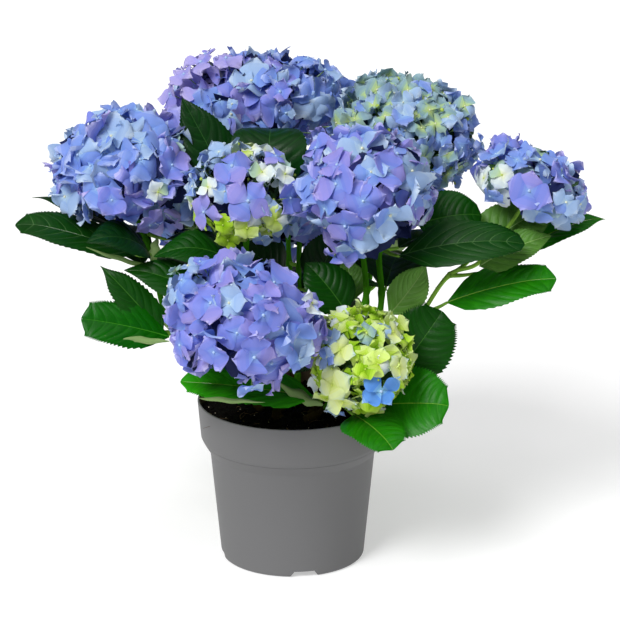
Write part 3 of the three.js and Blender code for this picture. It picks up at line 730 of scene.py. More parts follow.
class Heap:
    """Points and four-cornered faces gathered for one joined mesh."""

    def __init__(self):
        self.points, self.faces, self.slots, self.names, self.count = [], [], [], [], 0

    def slot(self, name):
        if name not in self.names:
            self.names.append(name)
        return self.names.index(name)

    def add(self, points, faces, slots, copies=1):
        """Adds points, with the same faces for each copy among them, and each face's slot."""
        points = points.reshape(-1, 3)
        step = len(points) // copies
        corners = faces[None] + (np.arange(copies) * step)[:, None, None] + self.count
        self.points.append(points)
        self.faces.append(corners.reshape(-1, 4))
        self.slots.append(np.broadcast_to(slots, (copies, len(faces))).reshape(-1))
        self.count += len(points)

    def piece(self, name, slot, *nodes):
        points = (np.concatenate(self.points) * MM).astype(np.float32)
        faces = np.concatenate(self.faces).astype(np.int32)
        mesh = bpy.data.meshes.new(name)
        mesh.vertices.add(len(points))
        mesh.vertices.foreach_set("co", points.ravel())
        mesh.loops.add(faces.size)
        mesh.loops.foreach_set("vertex_index", faces.ravel())
        mesh.polygons.add(len(faces))
        mesh.polygons.foreach_set("loop_start", np.arange(0, faces.size, 4, dtype=np.int32))
        mesh.polygons.foreach_set("material_index", np.concatenate(self.slots).astype(np.int32))
        mesh.update(calc_edges=True)
        mesh.shade_smooth()
        for material_name in self.names:
            mesh.materials.append(material(material_name))
        return placed(name, mesh, slot, *nodes)


def linked(name, data):
    """A new object in the scene."""
    made = bpy.data.objects.new(name, data)
    bpy.context.collection.objects.link(made)
    return made


def placed(name, mesh, slot, *nodes):
    """An object that rides on the root and stands for the nodes."""
    made = linked(name, mesh)
    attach(made, "root")
    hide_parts(*nodes)
    return made


def tube(path, radii, sides, flute=0.0):
    """Rings of points round a path, drawn together at both ends."""
    along = unit(np.gradient(path, axis=0))
    path, along = (np.concatenate([rows[:1], rows, rows[-1:]]) for rows in (path, along))
    radii = np.concatenate([[radii[0] * TUBE_END], radii, [radii[-1] * TUBE_END]])
    across = np.array([1.0, 0.0, 0.0])
    turn = around(sides)
    ribbed = 1 + flute * np.cos(sides / 2 * turn)
    rings = []
    for middle, way, radius in zip(path, along, radii):
        across = unit(across - way * across.dot(way))
        side = np.cross(way, across)
        rings.append(middle + radius * ribbed[:, None] * circle(turn[:, None], across, side))
    return np.array(rings), grid(len(rings), sides, wrap=True)


def add_strands(heap, starts, controls, ends, thick, thin, slot):
    """Thin tapering tubes, one for each start, bent towards its control."""
    share = np.linspace(0, 1, STRAND["steps"] + 1)[None, :, None]
    starts, controls, ends = (np.asarray(p, float)[:, None] for p in (starts, controls, ends))
    path = quadratic(starts, controls, ends, share)
    along = unit(ends - starts)
    across = unit(np.cross(along, STRAND["askew"]))
    side = np.cross(along, across)
    turn = around(STRAND["sides"])[None, None, :, None]
    radius = mix(thick, thin, share)[..., None]
    points = path[:, :, None] + radius * circle(turn, across[:, :, None], side[:, :, None])
    faces = grid(STRAND["steps"] + 1, STRAND["sides"], wrap=True)
    heap.add(points, faces, heap.slot(slot), copies=len(points))


def add_beads(heap, middles, outs, radii, slots):
    """Small round eyes, buds, spots or crumbs."""
    rise = np.linspace(BEAD["bottom"], 1, BEAD["rings"])
    turn = around(BEAD["sides"])
    girth = np.sqrt(np.maximum(1 - rise**2, BEAD["top"] ** 2))
    across, side = crosswise(outs, BEAD["askew"])
    ring = circle(turn[:, None], across[:, None], side[:, None])
    local = girth[None, :, None, None] * ring[:, None] + rise[None, :, None, None] * outs[:, None, None]
    points = middles[:, None, None] + radii[:, None, None, None] * local
    faces = grid(BEAD["rings"], BEAD["sides"], wrap=True)
    slots = np.broadcast_to(slots, len(middles))
    heap.add(points, faces, np.repeat(slots[:, None], len(faces), 1), copies=len(middles))


# The course of a shoot


def course(shoot):
    """The points of a shoot's curve, and where on it the leaves and the stalk begin."""
    middle = shoot.head.at
    neck = middle - NECK_SHARE * shoot.head.along * unit(shoot.head.faces)
    points = np.array([(*shoot.foot, SOIL_TOP), *shoot.bends, neck, middle], float)
    last = len(points) - 1
    return points, 1 / last, (last - 1) / last


def on_curve(points, places):
    """Points of the smooth curve through the points, at places from 0 to 1."""
    last = len(points) - 1
    scaled = np.atleast_1d(places) * last
    part = np.clip(np.floor(scaled).astype(int), 0, last - 1)
    w = (scaled - part)[:, None]
    padded = np.vstack([2 * points[0] - points[1], points, 2 * points[-1] - points[-2]])
    a, b, c, d = (padded[part + i] for i in range(4))
    leaving, arriving = (c - a) / 2, (d - b) / 2
    square, cube = w * w, w * w * w
    return (
        b
        + leaving * w
        + (3 * (c - b) - 2 * leaving - arriving) * square
        + (2 * (b - c) + leaving + arriving) * cube
    )


def leafy_point(shoot, at):
    points, leafy, neck = course(shoot)
    return on_curve(points, mix(leafy, neck, at))[0]


# Leaves, placed and grown by the rule of the part's source


class Numbers:
    """A repeatable stream of numbers from 0 to 1, the same as the part's source draws."""

    def __init__(self, seed):
        self.state = seed

    def __call__(self):
        self.state = (self.state * STREAM["factor"] + STREAM["step"]) % STREAM["size"]
        return self.state / STREAM["size"]


def round_side(t, shape):
    return np.clip(np.sin(math.pi * t**shape), 0, 1) ** LEAF["fullness"]


def half_width(leaf, t):
    return np.where(t < 1, leaf.width / 2 * round_side(t, LEAF["shape"]), 0)


def blade_axes(leaf):
    along = leaf.tip - leaf.base
    side = unit(np.cross(along, leaf.face))
    return along, side, unit(np.cross(side, along))


def sample_points(leaf):
    along, side, up = blade_axes(leaf)
    t, across = (a.ravel() for a in np.meshgrid(SAMPLES_ALONG, SAMPLES_ACROSS, indexing="ij"))
    half = half_width(leaf, t)
    lift = arched(leaf.arch, t) + LEAF["fold"] * abs(across) * half
    return leaf.base + t[:, None] * along + (across * half)[:, None] * side + lift[:, None] * up


def reaching_leaf(at, start, turn, rise, length):
    level = np.array([*on_circle(1, turn), 0])
    way = level * math.cos(rise) + UP * math.sin(rise)
    base = start + way * PETIOLE["length"]
    tip = start + way * (PETIOLE["length"] + length)
    return Leaf(at, base, tip, LEAF["width_share"] * length, UP, LEAF["arch_share"] * length)


def grown_leaves(shoot, random):
    """Opposite pairs, each turned a quarter from the pair below. Each leaf is a list of ways it may take."""
    outward = math.atan2(shoot.head.at[1], shoot.head.at[0])
    for pair in range(shoot.pairs):
        at = GROWTH["span"] * (pair + 0.5) / shoot.pairs
        start = leafy_point(shoot, at)
        for half in range(2):
            sway = GROWTH["sway"] * (random() - 0.5)
            turn = outward + (pair + 1) % 2 * math.pi / 2 + half * math.pi + sway
            rise = GROWTH["rise"] + GROWTH["rise_sway"] * (random() - 0.5)
            length = LEAF["length"] * (GROWTH["shortest"] + GROWTH["length_sway"] * random())
            yield [
                reaching_leaf(at, start, turn + aside, rise + lift, length)
                for lift in LIFTS
                for aside in TURNS
            ]


def dome_radius(head, cosine):
    """The radius of a head in the direction that has this cosine to its axis."""
    sine = np.sqrt(np.maximum(0, 1 - cosine * cosine))
    across, along = sine / head.across, abs(cosine) / head.along
    return (across**DOME_POWER + along**DOME_POWER) ** (-1 / DOME_POWER)


def distance_to_head(points, head):
    offset = points - head.at
    length = np.linalg.norm(offset, axis=-1)
    return length - dome_radius(head, offset @ unit(head.faces) / length)


def least_gap(points, others):
    return np.sqrt(((points[:, None] - others[None]) ** 2).sum(-1).min())


def is_within(point):
    seen = point[1] * math.sin(TILT) + point[2] * math.cos(TILT)
    return seen > LOW["under"] or LOW["left"] < point[0] < LOW["right"]


def is_clear(leaf, shoot, taken, limbs):
    if leaf.tip[1] < CLEAR["front"] or not is_within(leaf.tip):
        return False
    points = sample_points(leaf)
    over_pot = np.hypot(points[:, 0], points[:, 1]) < POT["rim_radius"] + CLEAR["rim"]
    if (over_pot & (points[:, 2] < POT["height"] + CLEAR["rim"])).any():
        return False
    if any((distance_to_head(points, other.head) < CLEAR["head"]).any() for other in SHOOTS):
        return False
    others = np.vstack([path for owner, path in limbs if owner is not shoot])
    return least_gap(points, others) >= CLEAR["limb"] and least_gap(points, taken) > CLEAR["leaf"]


def foliage():
    """Each shoot's leaves: its placed ones, then those grown ones that keep clear of everything."""
    leaves = {shoot.name: list(shoot.leaves) for shoot in SHOOTS}
    taken = np.vstack([sample_points(leaf) for shoot in SHOOTS for leaf in shoot.leaves])
    places = np.linspace(0, 1, SAMPLES_LIMB + 1)
    limbs = [(shoot, on_curve(course(shoot)[0], places)) for shoot in SHOOTS]
    for number, shoot in enumerate(SHOOTS):
        for ways in grown_leaves(shoot, Numbers(LEAF_SEED + number)):
            leaf = next((way for way in ways if is_clear(way, shoot, taken, limbs)), None)
            if leaf:
                leaves[shoot.name].append(leaf)
                taken = np.vstack([taken, sample_points(leaf)])
    return leaves


# The looks of a leaf


def blade_rows(first, last, veins):
    """Rows from a blade's base to its tip: the place on the midrib, the side of a vein, how far between two
    veins, and 1 where a tooth stands out. A vein is the strip between two rows."""
    rows = [(0, 0, 0, 0), (first / 2, 0, 0.5, 0)]
    gap = (last - first) / (veins - 1)
    steps = BLADE["steps"]
    for vein in range(veins):
        place = first + gap * vein
        rows += [(place, -1, 0, 1), (place, 1, 0, 1)]
        step = gap if vein < veins - 1 else 1 - last
        rows += [(place + step / steps * n, 0, n / steps, (n + 1) % 2) for n in range(1, steps)]
    rows.append((1, 0, 0, 0))
    return np.array(rows, float)


def tip_share(t):
    """How far into its tip a place on a blade is."""
    return np.clip((t - BLADE["tip_from"]) / (1 - BLADE["tip_from"]), 0, 1)


def shown_half_width(leaf, t):
    """A blade's half width with its tip narrowed or cut off."""
    t = np.clip(t, 0, 1)
    pointed = round_side(t, leaf.shape) * (1 - leaf.narrow * tip_share(t) ** BLADE["tip_fall"])
    cut = np.interp(t ** (leaf.shape / LEAF["shape"]), CUT_LEAF["t"], CUT_LEAF["width"])
    return leaf.width / 2 * mix(pointed, cut, leaf.blunt)


def blade_half(leaf, sign, rows, sway):
    """The points of one half of a blade, in rows that follow the side veins out to the margin."""
    along, side, up = blade_axes(leaf)
    length = np.linalg.norm(along)
    v = BLADE_COLUMNS[None, :]
    place, edge, between, tooth = (rows[:, i][:, None] for i in range(4))
    s = np.clip(place + edge * VEIN["half"] / length * (1 - VEIN["taper"] * v), 0, 1)
    t = s + leaf.sweep * np.sqrt(s) * (1 - s) * v ** BLADE["bend"]
    t = t - BLADE["cut_curve"] * leaf.blunt * v**2 * t**6
    tip = tip_share(t)
    half = shown_half_width(leaf, t)
    rib = np.minimum(VEIN["rib"] * (1 - VEIN["rib_taper"] * t), half * VEIN["rib_most"])
    teeth = tooth * v ** BLADE["tooth_power"] * leaf.tooth * np.minimum(1, half / BLADE["tooth_room"])
    out = rib + (half - rib) * v + teeth
    t = t + teeth / length * BLADE["tooth_slant"]
    puff = BLADE["puff"] * np.sin(math.pi * between) ** BLADE["puff_along"]
    puff = puff * v ** BLADE["puff_across"] * (1 - v**3)
    phase = sway["phase"] + BLADE["halves_apart"] * sign
    wave = sway["wave"] * v**2 * np.sin(ROUND * (leaf.ripple * t + phase))
    lift = (
        arched(leaf.arch, t)
        + LEAF["fold"] * out
        - leaf.droop * v**3 * half
        + puff * np.minimum(1, half / BLADE["puff_room"])
        + wave * np.sqrt(np.clip(t * (1 - t) * 4, 0, 1))
        - sway["recurve"] * tip**2 * length
    )
    return leaf.base + t[..., None] * along + (sign * out)[..., None] * side + lift[..., None] * up


def add_blade(heap, leaf, random):
    """A blade with sunk veins, quilted between them, with a toothed margin and a paler underside."""
    leaf = replace(leaf, **leaf.shown)
    sway = {name: random.uniform(*limits) for name, limits in BLADE_SWAY.items()}
    green = leaf.green or GROWN_GREENS[random.randint(len(GROWN_GREENS))]
    up = blade_axes(leaf)[2]
    spans = len(BLADE_COLUMNS) - 1
    for sign, first in ((1, BLADE["first"]), (-1, BLADE["first"] + BLADE["stagger"])):
        rows = blade_rows(first, BLADE["last"], BLADE["veins"])
        points = blade_half(leaf, sign, rows, sway)
        corners = grid(len(rows), len(BLADE_COLUMNS))
        strips = np.repeat(rows[:-1, 1] == -1, spans)
        odd = random.randint(0, 2, len(strips)) == 1
        odd &= np.repeat(random.rand(len(rows) - 1) < BLADE["odd"], spans)
        plain, patch, vein = (heap.slot(part.format(green)) for part in LEAF_PARTS[:3])
        top = np.where(strips, vein, np.where(odd, patch, plain))
        under = np.where(strips, heap.slot("vein_under"), heap.slot("leaf_under"))
        normals = np.cross(np.gradient(points, axis=0), np.gradient(points, axis=1)) * -sign
        thickness = BLADE["thickness"] * (1 - BLADE["thinner"] * BLADE_COLUMNS**4)
        sunk = points - thickness[None, :, None] * unit(normals + NUDGE * up)
        flip = corners[:, [0, 3, 2, 1]]  # with the same diagonals
        heap.add(points, corners if sign > 0 else flip, top)
        heap.add(sunk, flip if sign > 0 else corners, under)
        rim = np.stack([points[:, -1], sunk[:, -1]], 1)
        heap.add(rim, grid(len(rows), 2)[:, ::sign], plain)
    add_midrib(heap, leaf, sway, green)


def add_midrib(heap, leaf, sway, green):
    """The midrib: a raised line on top of the blade and a keel under it."""
    along, side, up = blade_axes(leaf)
    t = np.linspace(0, MIDRIB["end"], MIDRIB["steps"])
    rib = VEIN["rib"] * (1 - VEIN["rib_taper"] * t) * MIDRIB["broad"]
    lift = arched(leaf.arch, t) - sway["recurve"] * tip_share(t) ** 2 * np.linalg.norm(along)
    middle = leaf.base + t[:, None] * along + lift[:, None] * up
    faces = grid(len(t), 3)
    edge = LEAF["fold"] * rib + MIDRIB["above"]
    keel = -VEIN["keel"] * (1 - VEIN["keel_taper"] * t)
    for slot, depth, rise, corners in (
        ("rib_" + green, -MIDRIB["sunk"] * rib, edge, faces),
        ("rib_under", keel, edge - BLADE["thickness"] - MIDRIB["under"], faces[:, ::-1]),
    ):
        rows = [
            middle - rib[:, None] * side + rise[:, None] * up,
            middle + depth[:, None] * up,
            middle + rib[:, None] * side + rise[:, None] * up,
        ]
        heap.add(np.stack(rows, 1), corners, heap.slot(slot))


def add_edge(heap, curled):
    """A curled edge of a leaf that shows its pale underside."""
    start = np.array(curled.start, float)
    along = np.array(curled.end, float) - start
    side = unit(np.cross(along, curled.face))
    t = np.linspace(0, 1, EDGE["steps"])[:, None, None]
    v = np.linspace(-1, 1, EDGE["columns"])[None, :, None]
    wave = EDGE["wave"] * np.sin(EDGE["waves"] * math.pi * t)
    out = curled.width / 2 * np.sin(math.pi * t ** LEAF["shape"]) * (v + wave)
    sag = arched(curled.sag, t) + EDGE["roll"] * curled.width * v**2
    points = start + t * along + out * side - sag * unit(curled.face)
    heap.add(points, grid(EDGE["steps"], EDGE["columns"]), heap.slot("leaf_under"))


# The looks of a flower


def to_pixels(points):
    """Where points fall in the photograph, across and down."""
    x, y, z = (points - TARGET).T
    depth = VIEW["distance"] + y * math.cos(TILT) - z * math.sin(TILT)
    height = y * math.sin(TILT) + z * math.cos(TILT)
    middle = VIEW["pixels"] / 2
    return middle + FOCAL * x / depth, middle - FOCAL * height / depth


def sight_line(across, down):
    """Points behind a place of the photograph, from front to back."""
    middle = VIEW["pixels"] / 2
    depth = np.arange(*SIGHT_RANGE)
    share = (VIEW["distance"] + depth) / FOCAL
    x, height = (across - middle) * share, (middle - down) * share
    y = depth * math.cos(TILT) + height * math.sin(TILT)
    z = height * math.cos(TILT) - depth * math.sin(TILT)
    return np.stack([x, y, z], 1) + TARGET


def is_in(patch, across, down):
    return np.hypot(across - patch.across, down - patch.down) < patch.radius


def turned_up(head):
    """The turn from a head's own frame, which faces up, to the way it faces."""
    return np.array(Vector((0, 0, 1)).rotation_difference(Vector(unit(head.faces))).to_matrix())


def head_normals(head, points):
    """The ways out of a head's dome at points."""
    turn = turned_up(head)
    local = (points - head.at) @ turn
    return unit(local / np.array([head.across, head.across, head.along]) ** 2) @ turn.T


def spots_on_dome(head, count, look, level, inset, sway, random):
    """Evenly spread points on a dome, at a share of its radius less an inset."""
    number = np.arange(count)
    cosine = 1 - (number + 0.5) / count * (1 - math.cos(math.radians(look.spread)))
    sine = np.sqrt(1 - cosine**2)
    turn = number * GOLDEN_ANGLE + random.uniform(0, ROUND)
    radius = dome_radius(head, cosine) * (level - sway * random.rand(count)) - inset
    local = np.stack([sine * np.cos(turn), sine * np.sin(turn), cosine], 1) * radius[:, None]
    return head.at + local @ turned_up(head).T * np.array(look.fit)


def spot_seen_at(head, across, down):
    """The point of a head's dome that shows at a place of the photograph."""
    line = sight_line(across, down)
    distance = distance_to_head(line, head)
    inside = distance < -STAR["depth"]
    return line[inside.argmax() if inside.any() else distance.argmin()]


def add_florets(heap, head, fit, middles, outs, reach, families, random, curls, petal, bluntest, slim=1):
    """Four broad, waved and creased petals round each middle, of the floret's family of colours."""
    count = len(middles)

    def each(name, shape=(count, PETALS)):
        return random.uniform(*RUFFLE[name], shape)[..., None, None]

    def waves(name, way, most=1, lean=0):
        return most * each(name) * np.sin(ROUND * (WAVES[name] * way + each("phase")) + lean)

    across, side = crosswise(outs, FLORET_ASKEW)
    spin = random.uniform(0, ROUND / PETALS, (count, 1)) + around(PETALS)
    spin = spin + random.uniform(*RUFFLE["turn"], (count, PETALS))
    along = circle(spin[..., None], across[:, None], side[:, None])
    beside = np.cross(outs[:, None], along)
    u, v = petal["u"][:, None], petal["v"][None, :]
    curl = curls[:, None, None, None]
    sharp, blunt = (np.interp(u, OUTLINE["u"], OUTLINE[kind]) for kind in ("sharp", "blunt"))
    bluntness = random.uniform(bluntest - PETAL["blunt_span"], bluntest, (count, PETALS))
    width = mix(sharp, blunt, np.clip(bluntness[..., None, None], 0, 1))
    # A petal that would reach out of the dome is shorter.
    tips = middles[:, None] + reach[:, None, None] * along
    filled = head.at + (tips - head.at) / np.array(fit)
    over = np.maximum(0, distance_to_head(filled, head) - PETAL["over"])
    kept = np.clip(1 - over / reach[:, None], PETAL["least"], 1)
    length = (reach[:, None] * kept)[..., None, None] * each("length")
    half = PETAL["half"] * slim * each("width")
    x = u - each("rounding") * u**3 * v**2 + each("slant") * u**3 * v
    x = x + waves("end_wave", v) * u**4
    y = half * width * v + each("bow") * u**2
    y = y + waves("side_wave", u) * abs(v) ** 3 * u
    cup = np.maximum(each("cup", (count, 1)) * curl + each("own_cup") * curl, -PETAL["opens"])
    pleats = np.cos(np.arange(len(petal["v"])) * math.pi)
    z = (
        PETAL["rise"] * u
        - cup * PETAL["cup"] * u**2
        + each("trough") * v**2 * width
        + each("crease") * curl * abs(v) * width
        + (PETAL["lap"] + each("twist")) * v * width
        + waves("end_swell", v) * u**3
        + waves("side_swell", u, curl, SWELL["lean"] * v) * abs(v) ** SWELL["power"] * u
        - each("hook") * curl * u**5
        + PLEAT["depth"] * pleats * np.sqrt(u) * (1 - u ** PLEAT["fades"])
    )
    points = (
        middles[:, None, None, None]
        + along[:, :, None, None] * (length * x)[..., None]
        + beside[:, :, None, None] * (length * y)[..., None]
        + outs[:, None, None, None] * (length * z)[..., None]
    )
    names = [
        (FAMILIES[name].near or name) if random.rand() < FLORET["near_share"] else name
        for name in np.repeat(families, PETALS)
    ]
    slots = np.array([[heap.slot(f"{name}_{ring}") for ring in petal["rings"]] for name in names])
    faces = grid(len(petal["u"]), len(petal["v"]))[:, ::-1]
    heap.add(points, faces, np.repeat(slots, len(petal["v"]) - 1, axis=1), copies=count * PETALS)


def families_of(look, spots, outs, random):
    """A family of colours for each spot: that of the last tinted patch in which the photograph shows it, or
    a draw from the head's own mixture."""
    names, weights = list(look.mixture), np.array(list(look.mixture.values()), float)
    drawn = [names[i] for i in random.choice(len(names), len(spots), p=weights / weights.sum())]
    across, down = to_pixels(spots)
    shown = outs @ TO_CAMERA > FLORET["seen"]
    firm = random.rand(len(spots)) < FLORET["tint_share"]
    for i in np.flatnonzero(shown & firm):
        for patch in look.tints:
            if is_in(patch, across[i], down[i]):
                drawn[i] = patch.family
    return drawn


def add_head(heap, shoot, look, random):
    """A head of florets in layers, the inner ones painted dark as painted shade, with those that stand out
    and with closed buds.
    """
    head = shoot.head
    stars = np.array([spot_seen_at(head, star.across, star.down) for star in look.stars]).reshape(-1, 3)
    star_reach = np.array([star.reach for star in look.stars], float)
    for layer in LAYERS:
        inset, count = layer["inset"] * look.reach, round(look.count * layer["share"])
        spots = spots_on_dome(head, count, look, layer["level"], inset, layer["sway"], random)
        for patch in look.bare:
            spots = spots[~is_in(patch, *to_pixels(spots))]
        outs = head_normals(head, spots)
        families = families_of(look, spots, outs, random)
        # The inner layers take the dark families: painted shade between the outer florets.
        if layer["deep"]:
            families = [FAMILIES[family].deep for family in families]
        elif look.stars:
            near = np.linalg.norm(spots[:, None] - stars[None], axis=-1) / star_reach
            keep = near.min(1) > STAR["room"]
            spots, outs = spots[keep], outs[keep]
            families = [family for family, kept in zip(families, keep) if kept]
        outs = unit(outs + random.normal(0, layer["tilt"], outs.shape))
        reach = look.reach * random.uniform(*FLORET["reach"], len(spots))
        curls = look.curl * (CURL["least"] + CURL["top"] * np.maximum(0, outs[:, 2]))
        petal = SMALL_PETAL if look.reach < SMALL_REACH and not layer["deep"] else layer["petal"]
        add_florets(heap, head, look.fit, spots, outs, reach, families, random, curls, petal, look.bluntest)
        if not layer["deep"]:
            add_eyes(heap, shoot, spots, outs, reach, families)
            if look.stars:
                add_stars(heap, shoot, look, stars, star_reach, random)
    if look.buds:
        spots = spots_on_dome(head, look.buds, look, BUD["level"], 0, BUD["sway"], random)
        outs = head_normals(head, spots)
        add_beads(heap, spots, outs, random.uniform(*BUD["radii"], len(spots)), heap.slot("bud"))
        add_stalks(heap, shoot, spots, outs)


def add_stars(heap, shoot, look, stars, reach, random):
    """The florets that stand out, turned to the camera and away from each other."""
    apart = stars[:, None] - stars[None]
    gap = np.linalg.norm(apart, axis=-1, keepdims=True) + TINY
    lean = (apart / gap * np.clip(1 - gap / (2 * look.reach), 0, 1)).sum(1)
    own = np.array([(star.right, 0, star.up) for star in look.stars], float)
    outs = unit(head_normals(shoot.head, stars) + STAR["turn"] * TO_CAMERA + STAR["lean"] * lean + own)
    families = [star.family for star in look.stars]
    curls = np.full(len(stars), look.curl * CURL["star"])
    slims = np.array([star.slim for star in look.stars])[:, None, None, None]
    petal, bluntest = FINE_PETAL, STAR["bluntest"]
    add_florets(
        heap, shoot.head, look.fit, stars, outs, reach, families, random, curls, petal, bluntest, slims
    )
    add_eyes(heap, shoot, stars, outs, reach, families)


def add_eyes(heap, shoot, spots, outs, reach, families):
    """The florets' eyes and stalks."""
    slots = np.array([heap.slot(FAMILIES[family].eye) for family in families])
    add_beads(heap, spots + outs * FLORET["eye_rise"] * reach[:, None], outs, reach * FLORET["eye"], slots)
    add_stalks(heap, shoot, spots, outs)


def add_stalks(heap, shoot, spots, outs):
    """Thin stalks that fan out from the top of the stem to the florets."""
    points, _, neck = course(shoot)
    root = on_curve(points, mix(neck, 1, FAN["root"]))[0]
    starts = np.repeat(root[None], len(spots), 0)
    ends = spots - outs * FAN["under"]
    controls = mix(starts, ends, FAN["bend"]) - outs * FAN["dip"]
    add_strands(heap, starts, controls, ends, STRAND["thick"], STRAND["thin"], "stalk")


# Stems


def add_stems(heap, shoot, leaves, random):
    """The shoot's cane, ribbed and swollen at its nodes, and the petioles of its leaves."""
    points, leafy, neck = course(shoot)
    top = np.linspace(neck, 1, STEM["end_steps"])[1:-1]
    places = np.concatenate([np.linspace(0, neck, STEM["steps"]), top])
    path = on_curve(points, places)
    thick = [CANE[name] for name in ("radius", "node_radius", "neck_radius", "stalk_radius")]
    radii = np.interp(places, [0, leafy, neck, 1], thick)
    height = path[:, 2] - SOIL_TOP
    foot = np.clip(1 - height / FLARE["height"], 0, 1)
    radii = radii + (FLARE["radius"] - CANE["radius"]) * foot**2
    for at in {leaf.at for leaf in leaves} | {0.0}:
        gap = np.linalg.norm(path - leafy_point(shoot, at), axis=1)
        radii = radii + STEM["node"] * np.exp(-((gap / STEM["node_reach"]) ** 2))
    radii = radii * mix(1, shoot.girth, np.clip(height / FLARE["height"], 0, 1))
    brown = np.append(height, height[-1]) < STEM["brown"]
    slots = np.where(brown, heap.slot("cane_foot"), heap.slot(shoot.green))
    rings, faces = tube(path, radii, STEM["sides"], STEM["flute"])
    heap.add(rings, faces, np.repeat(slots, STEM["sides"]))
    add_lenticels(heap, path, radii, random)
    for leaf in leaves:
        add_leaf_stalk(heap, leafy_point(shoot, leaf.at), leaf.base)


def add_leaf_stalk(heap, start, end):
    share = np.linspace(0, 1, LEAF_STALK["steps"])
    way = end - start
    sag = arched(-LEAF_STALK["sag"] * np.linalg.norm(way), share)
    path = start + share[:, None] * way + sag[:, None] * UP
    collar = LEAF_STALK["collar"] * np.exp(-share * LEAF_STALK["collar_fade"])
    radii = mix(PETIOLE["radius"] + LEAF_STALK["thicker"], PETIOLE["tip_radius"], share) + collar
    heap.add(*tube(path, radii, LEAF_STALK["sides"]), heap.slot("petiole"))


def add_lenticels(heap, path, radii, random):
    """Small brown raised spots on the lower part of a cane."""
    count = STEM_SPOTS["count"]
    rows = random.randint(STEM_SPOTS["first"], len(path) // 2, count)
    way = unit(path[rows + 1] - path[rows])
    turn = random.normal(0, 1, (count, 3))
    out = unit(turn - way * (turn * way).sum(1, keepdims=True))
    middles = path[rows] + out * (radii[rows] * STEM_SPOTS["sunk"])[:, None]
    add_beads(heap, middles, out, random.uniform(*STEM_SPOTS["radii"], count), heap.slot("spot"))


# The pot and the soil


def bent(start, towards, end, steps):
    """Points along a quadratic curve, without its start."""
    share = np.linspace(0, 1, steps + 1)[1:, None]
    start, towards, end = (np.array(p, float) for p in (start, towards, end))
    return [*quadratic(start, towards, end, share)]


def shoulder_outside():
    """The rounded shoulder under the rim band, with its fine groove."""
    low_end, high_end = (POT["body_radius"], POT["body_height"]), (POT["band_radius"], POT["band_height"])
    curve = low_end, POT["shoulder"], high_end
    points, fine = bent(*curve, POT["curve_steps"]), bent(*curve, GROOVE["steps"])
    at, span = round(GROOVE["place"] * GROOVE["steps"]), GROOVE["span"]
    lip_low, deep, lip_high = fine[at - span], fine[at] - (GROOVE["depth"], 0), fine[at + span]
    low = [p for p in points if p[1] < lip_low[1]]
    high = [p for p in points if p[1] > lip_high[1]]
    return low + [lip_low, deep, lip_high] + high


def pot_profile():
    wall, lip, draft = POT["wall"], POT["lip"], POT["draft"]
    rim, foot, boss = POT["rim_radius"], POT["foot_radius"], POT["boss_radius"]
    top, floor, rounding = POT["height"], POT["floor_height"], POT["foot_rounding"]
    ring = foot - POT["ring_width"]
    foot_start = (foot - rounding, 0)
    inner_band = (POT["band_radius"] - wall, POT["band_height"])
    inner_shoulder = (POT["shoulder"][0] - wall, POT["shoulder"][1] + wall)
    inner_body = (POT["body_radius"] - wall, POT["body_height"] + wall)
    return [
        (0, 0),
        (boss, 0),
        (boss + draft, floor - wall),
        (ring - draft, floor - wall),
        (ring, 0),
        foot_start,
        *bent(foot_start, (foot, 0), (foot, rounding), POT["foot_steps"]),
        (POT["body_radius"], POT["body_height"]),
        *shoulder_outside(),
        (rim, top - lip),
        (rim - lip * POT["lip_cut"], top - lip * POT["lip_cut"]),
        (rim - lip, top),
        (rim - wall, top),
        inner_band,
        *bent(inner_band, inner_shoulder, inner_body, POT["curve_steps"]),
        (foot - wall, floor),
        (boss, floor),
        (boss - draft, wall),
        (0, wall),
    ]


def lathe(profile, segments):
    """Points and faces of a profile turned round the Z axis, its ends on the axis."""
    turn = around(segments)
    points = [(0, 0, profile[0][1])]
    for radius, height in profile[1:-1]:
        points += [(radius * c, radius * s, height) for c, s in zip(np.cos(turn), np.sin(turn))]
    points.append((0, 0, profile[-1][1]))
    last, faces = len(points) - 1, []
    for i in range(segments):
        n = (i + 1) % segments
        faces.append((0, 1 + n, 1 + i))
        for ring in range(len(profile) - 3):
            low, high = 1 + ring * segments, 1 + (ring + 1) * segments
            faces.append((low + i, low + n, high + n, high + i))
        top = last - segments
        faces.append((top + i, top + n, last))
    return points, faces


def mesh_of(name, points, faces):
    mesh = bpy.data.meshes.new(name)
    mesh.from_pydata([tuple(float(c) * MM for c in p) for p in points], [], faces)
    mesh.update()
    return mesh


def prism(name, outline, depth):
    """A solid of an outline in X and Z, drawn out along Y."""
    count = len(outline)
    points = [(x, y, z) for y in (0, depth) for x, z in outline]
    faces = [tuple(range(count)), tuple(range(2 * count - 1, count - 1, -1))]
    faces += [(i, i + count, (i + 1) % count + count, (i + 1) % count) for i in range(count)]
    return linked(name, mesh_of(name, points, faces))


def notches():
    """The cutters of the notches in the foot."""
    half, top, below = NOTCH["width"] / 2, NOTCH["top_width"] / 2, NOTCH["below"]
    outline = [(-half, -below), (half, -below), (top, NOTCH["height"]), (-top, NOTCH["height"])]
    start = (POT["foot_radius"] - NOTCH["inset"]) * MM
    for i in range(NOTCH["count"]):
        turn = math.radians(NOTCH["first"]) + i / NOTCH["count"] * ROUND
        cutter = prism(f"notch_{i}", outline, NOTCH["depth"])
        cutter.location = (*on_circle(start, turn), 0)
        cutter.rotation_euler = (0, 0, turn - math.pi / 2)
        yield cutter


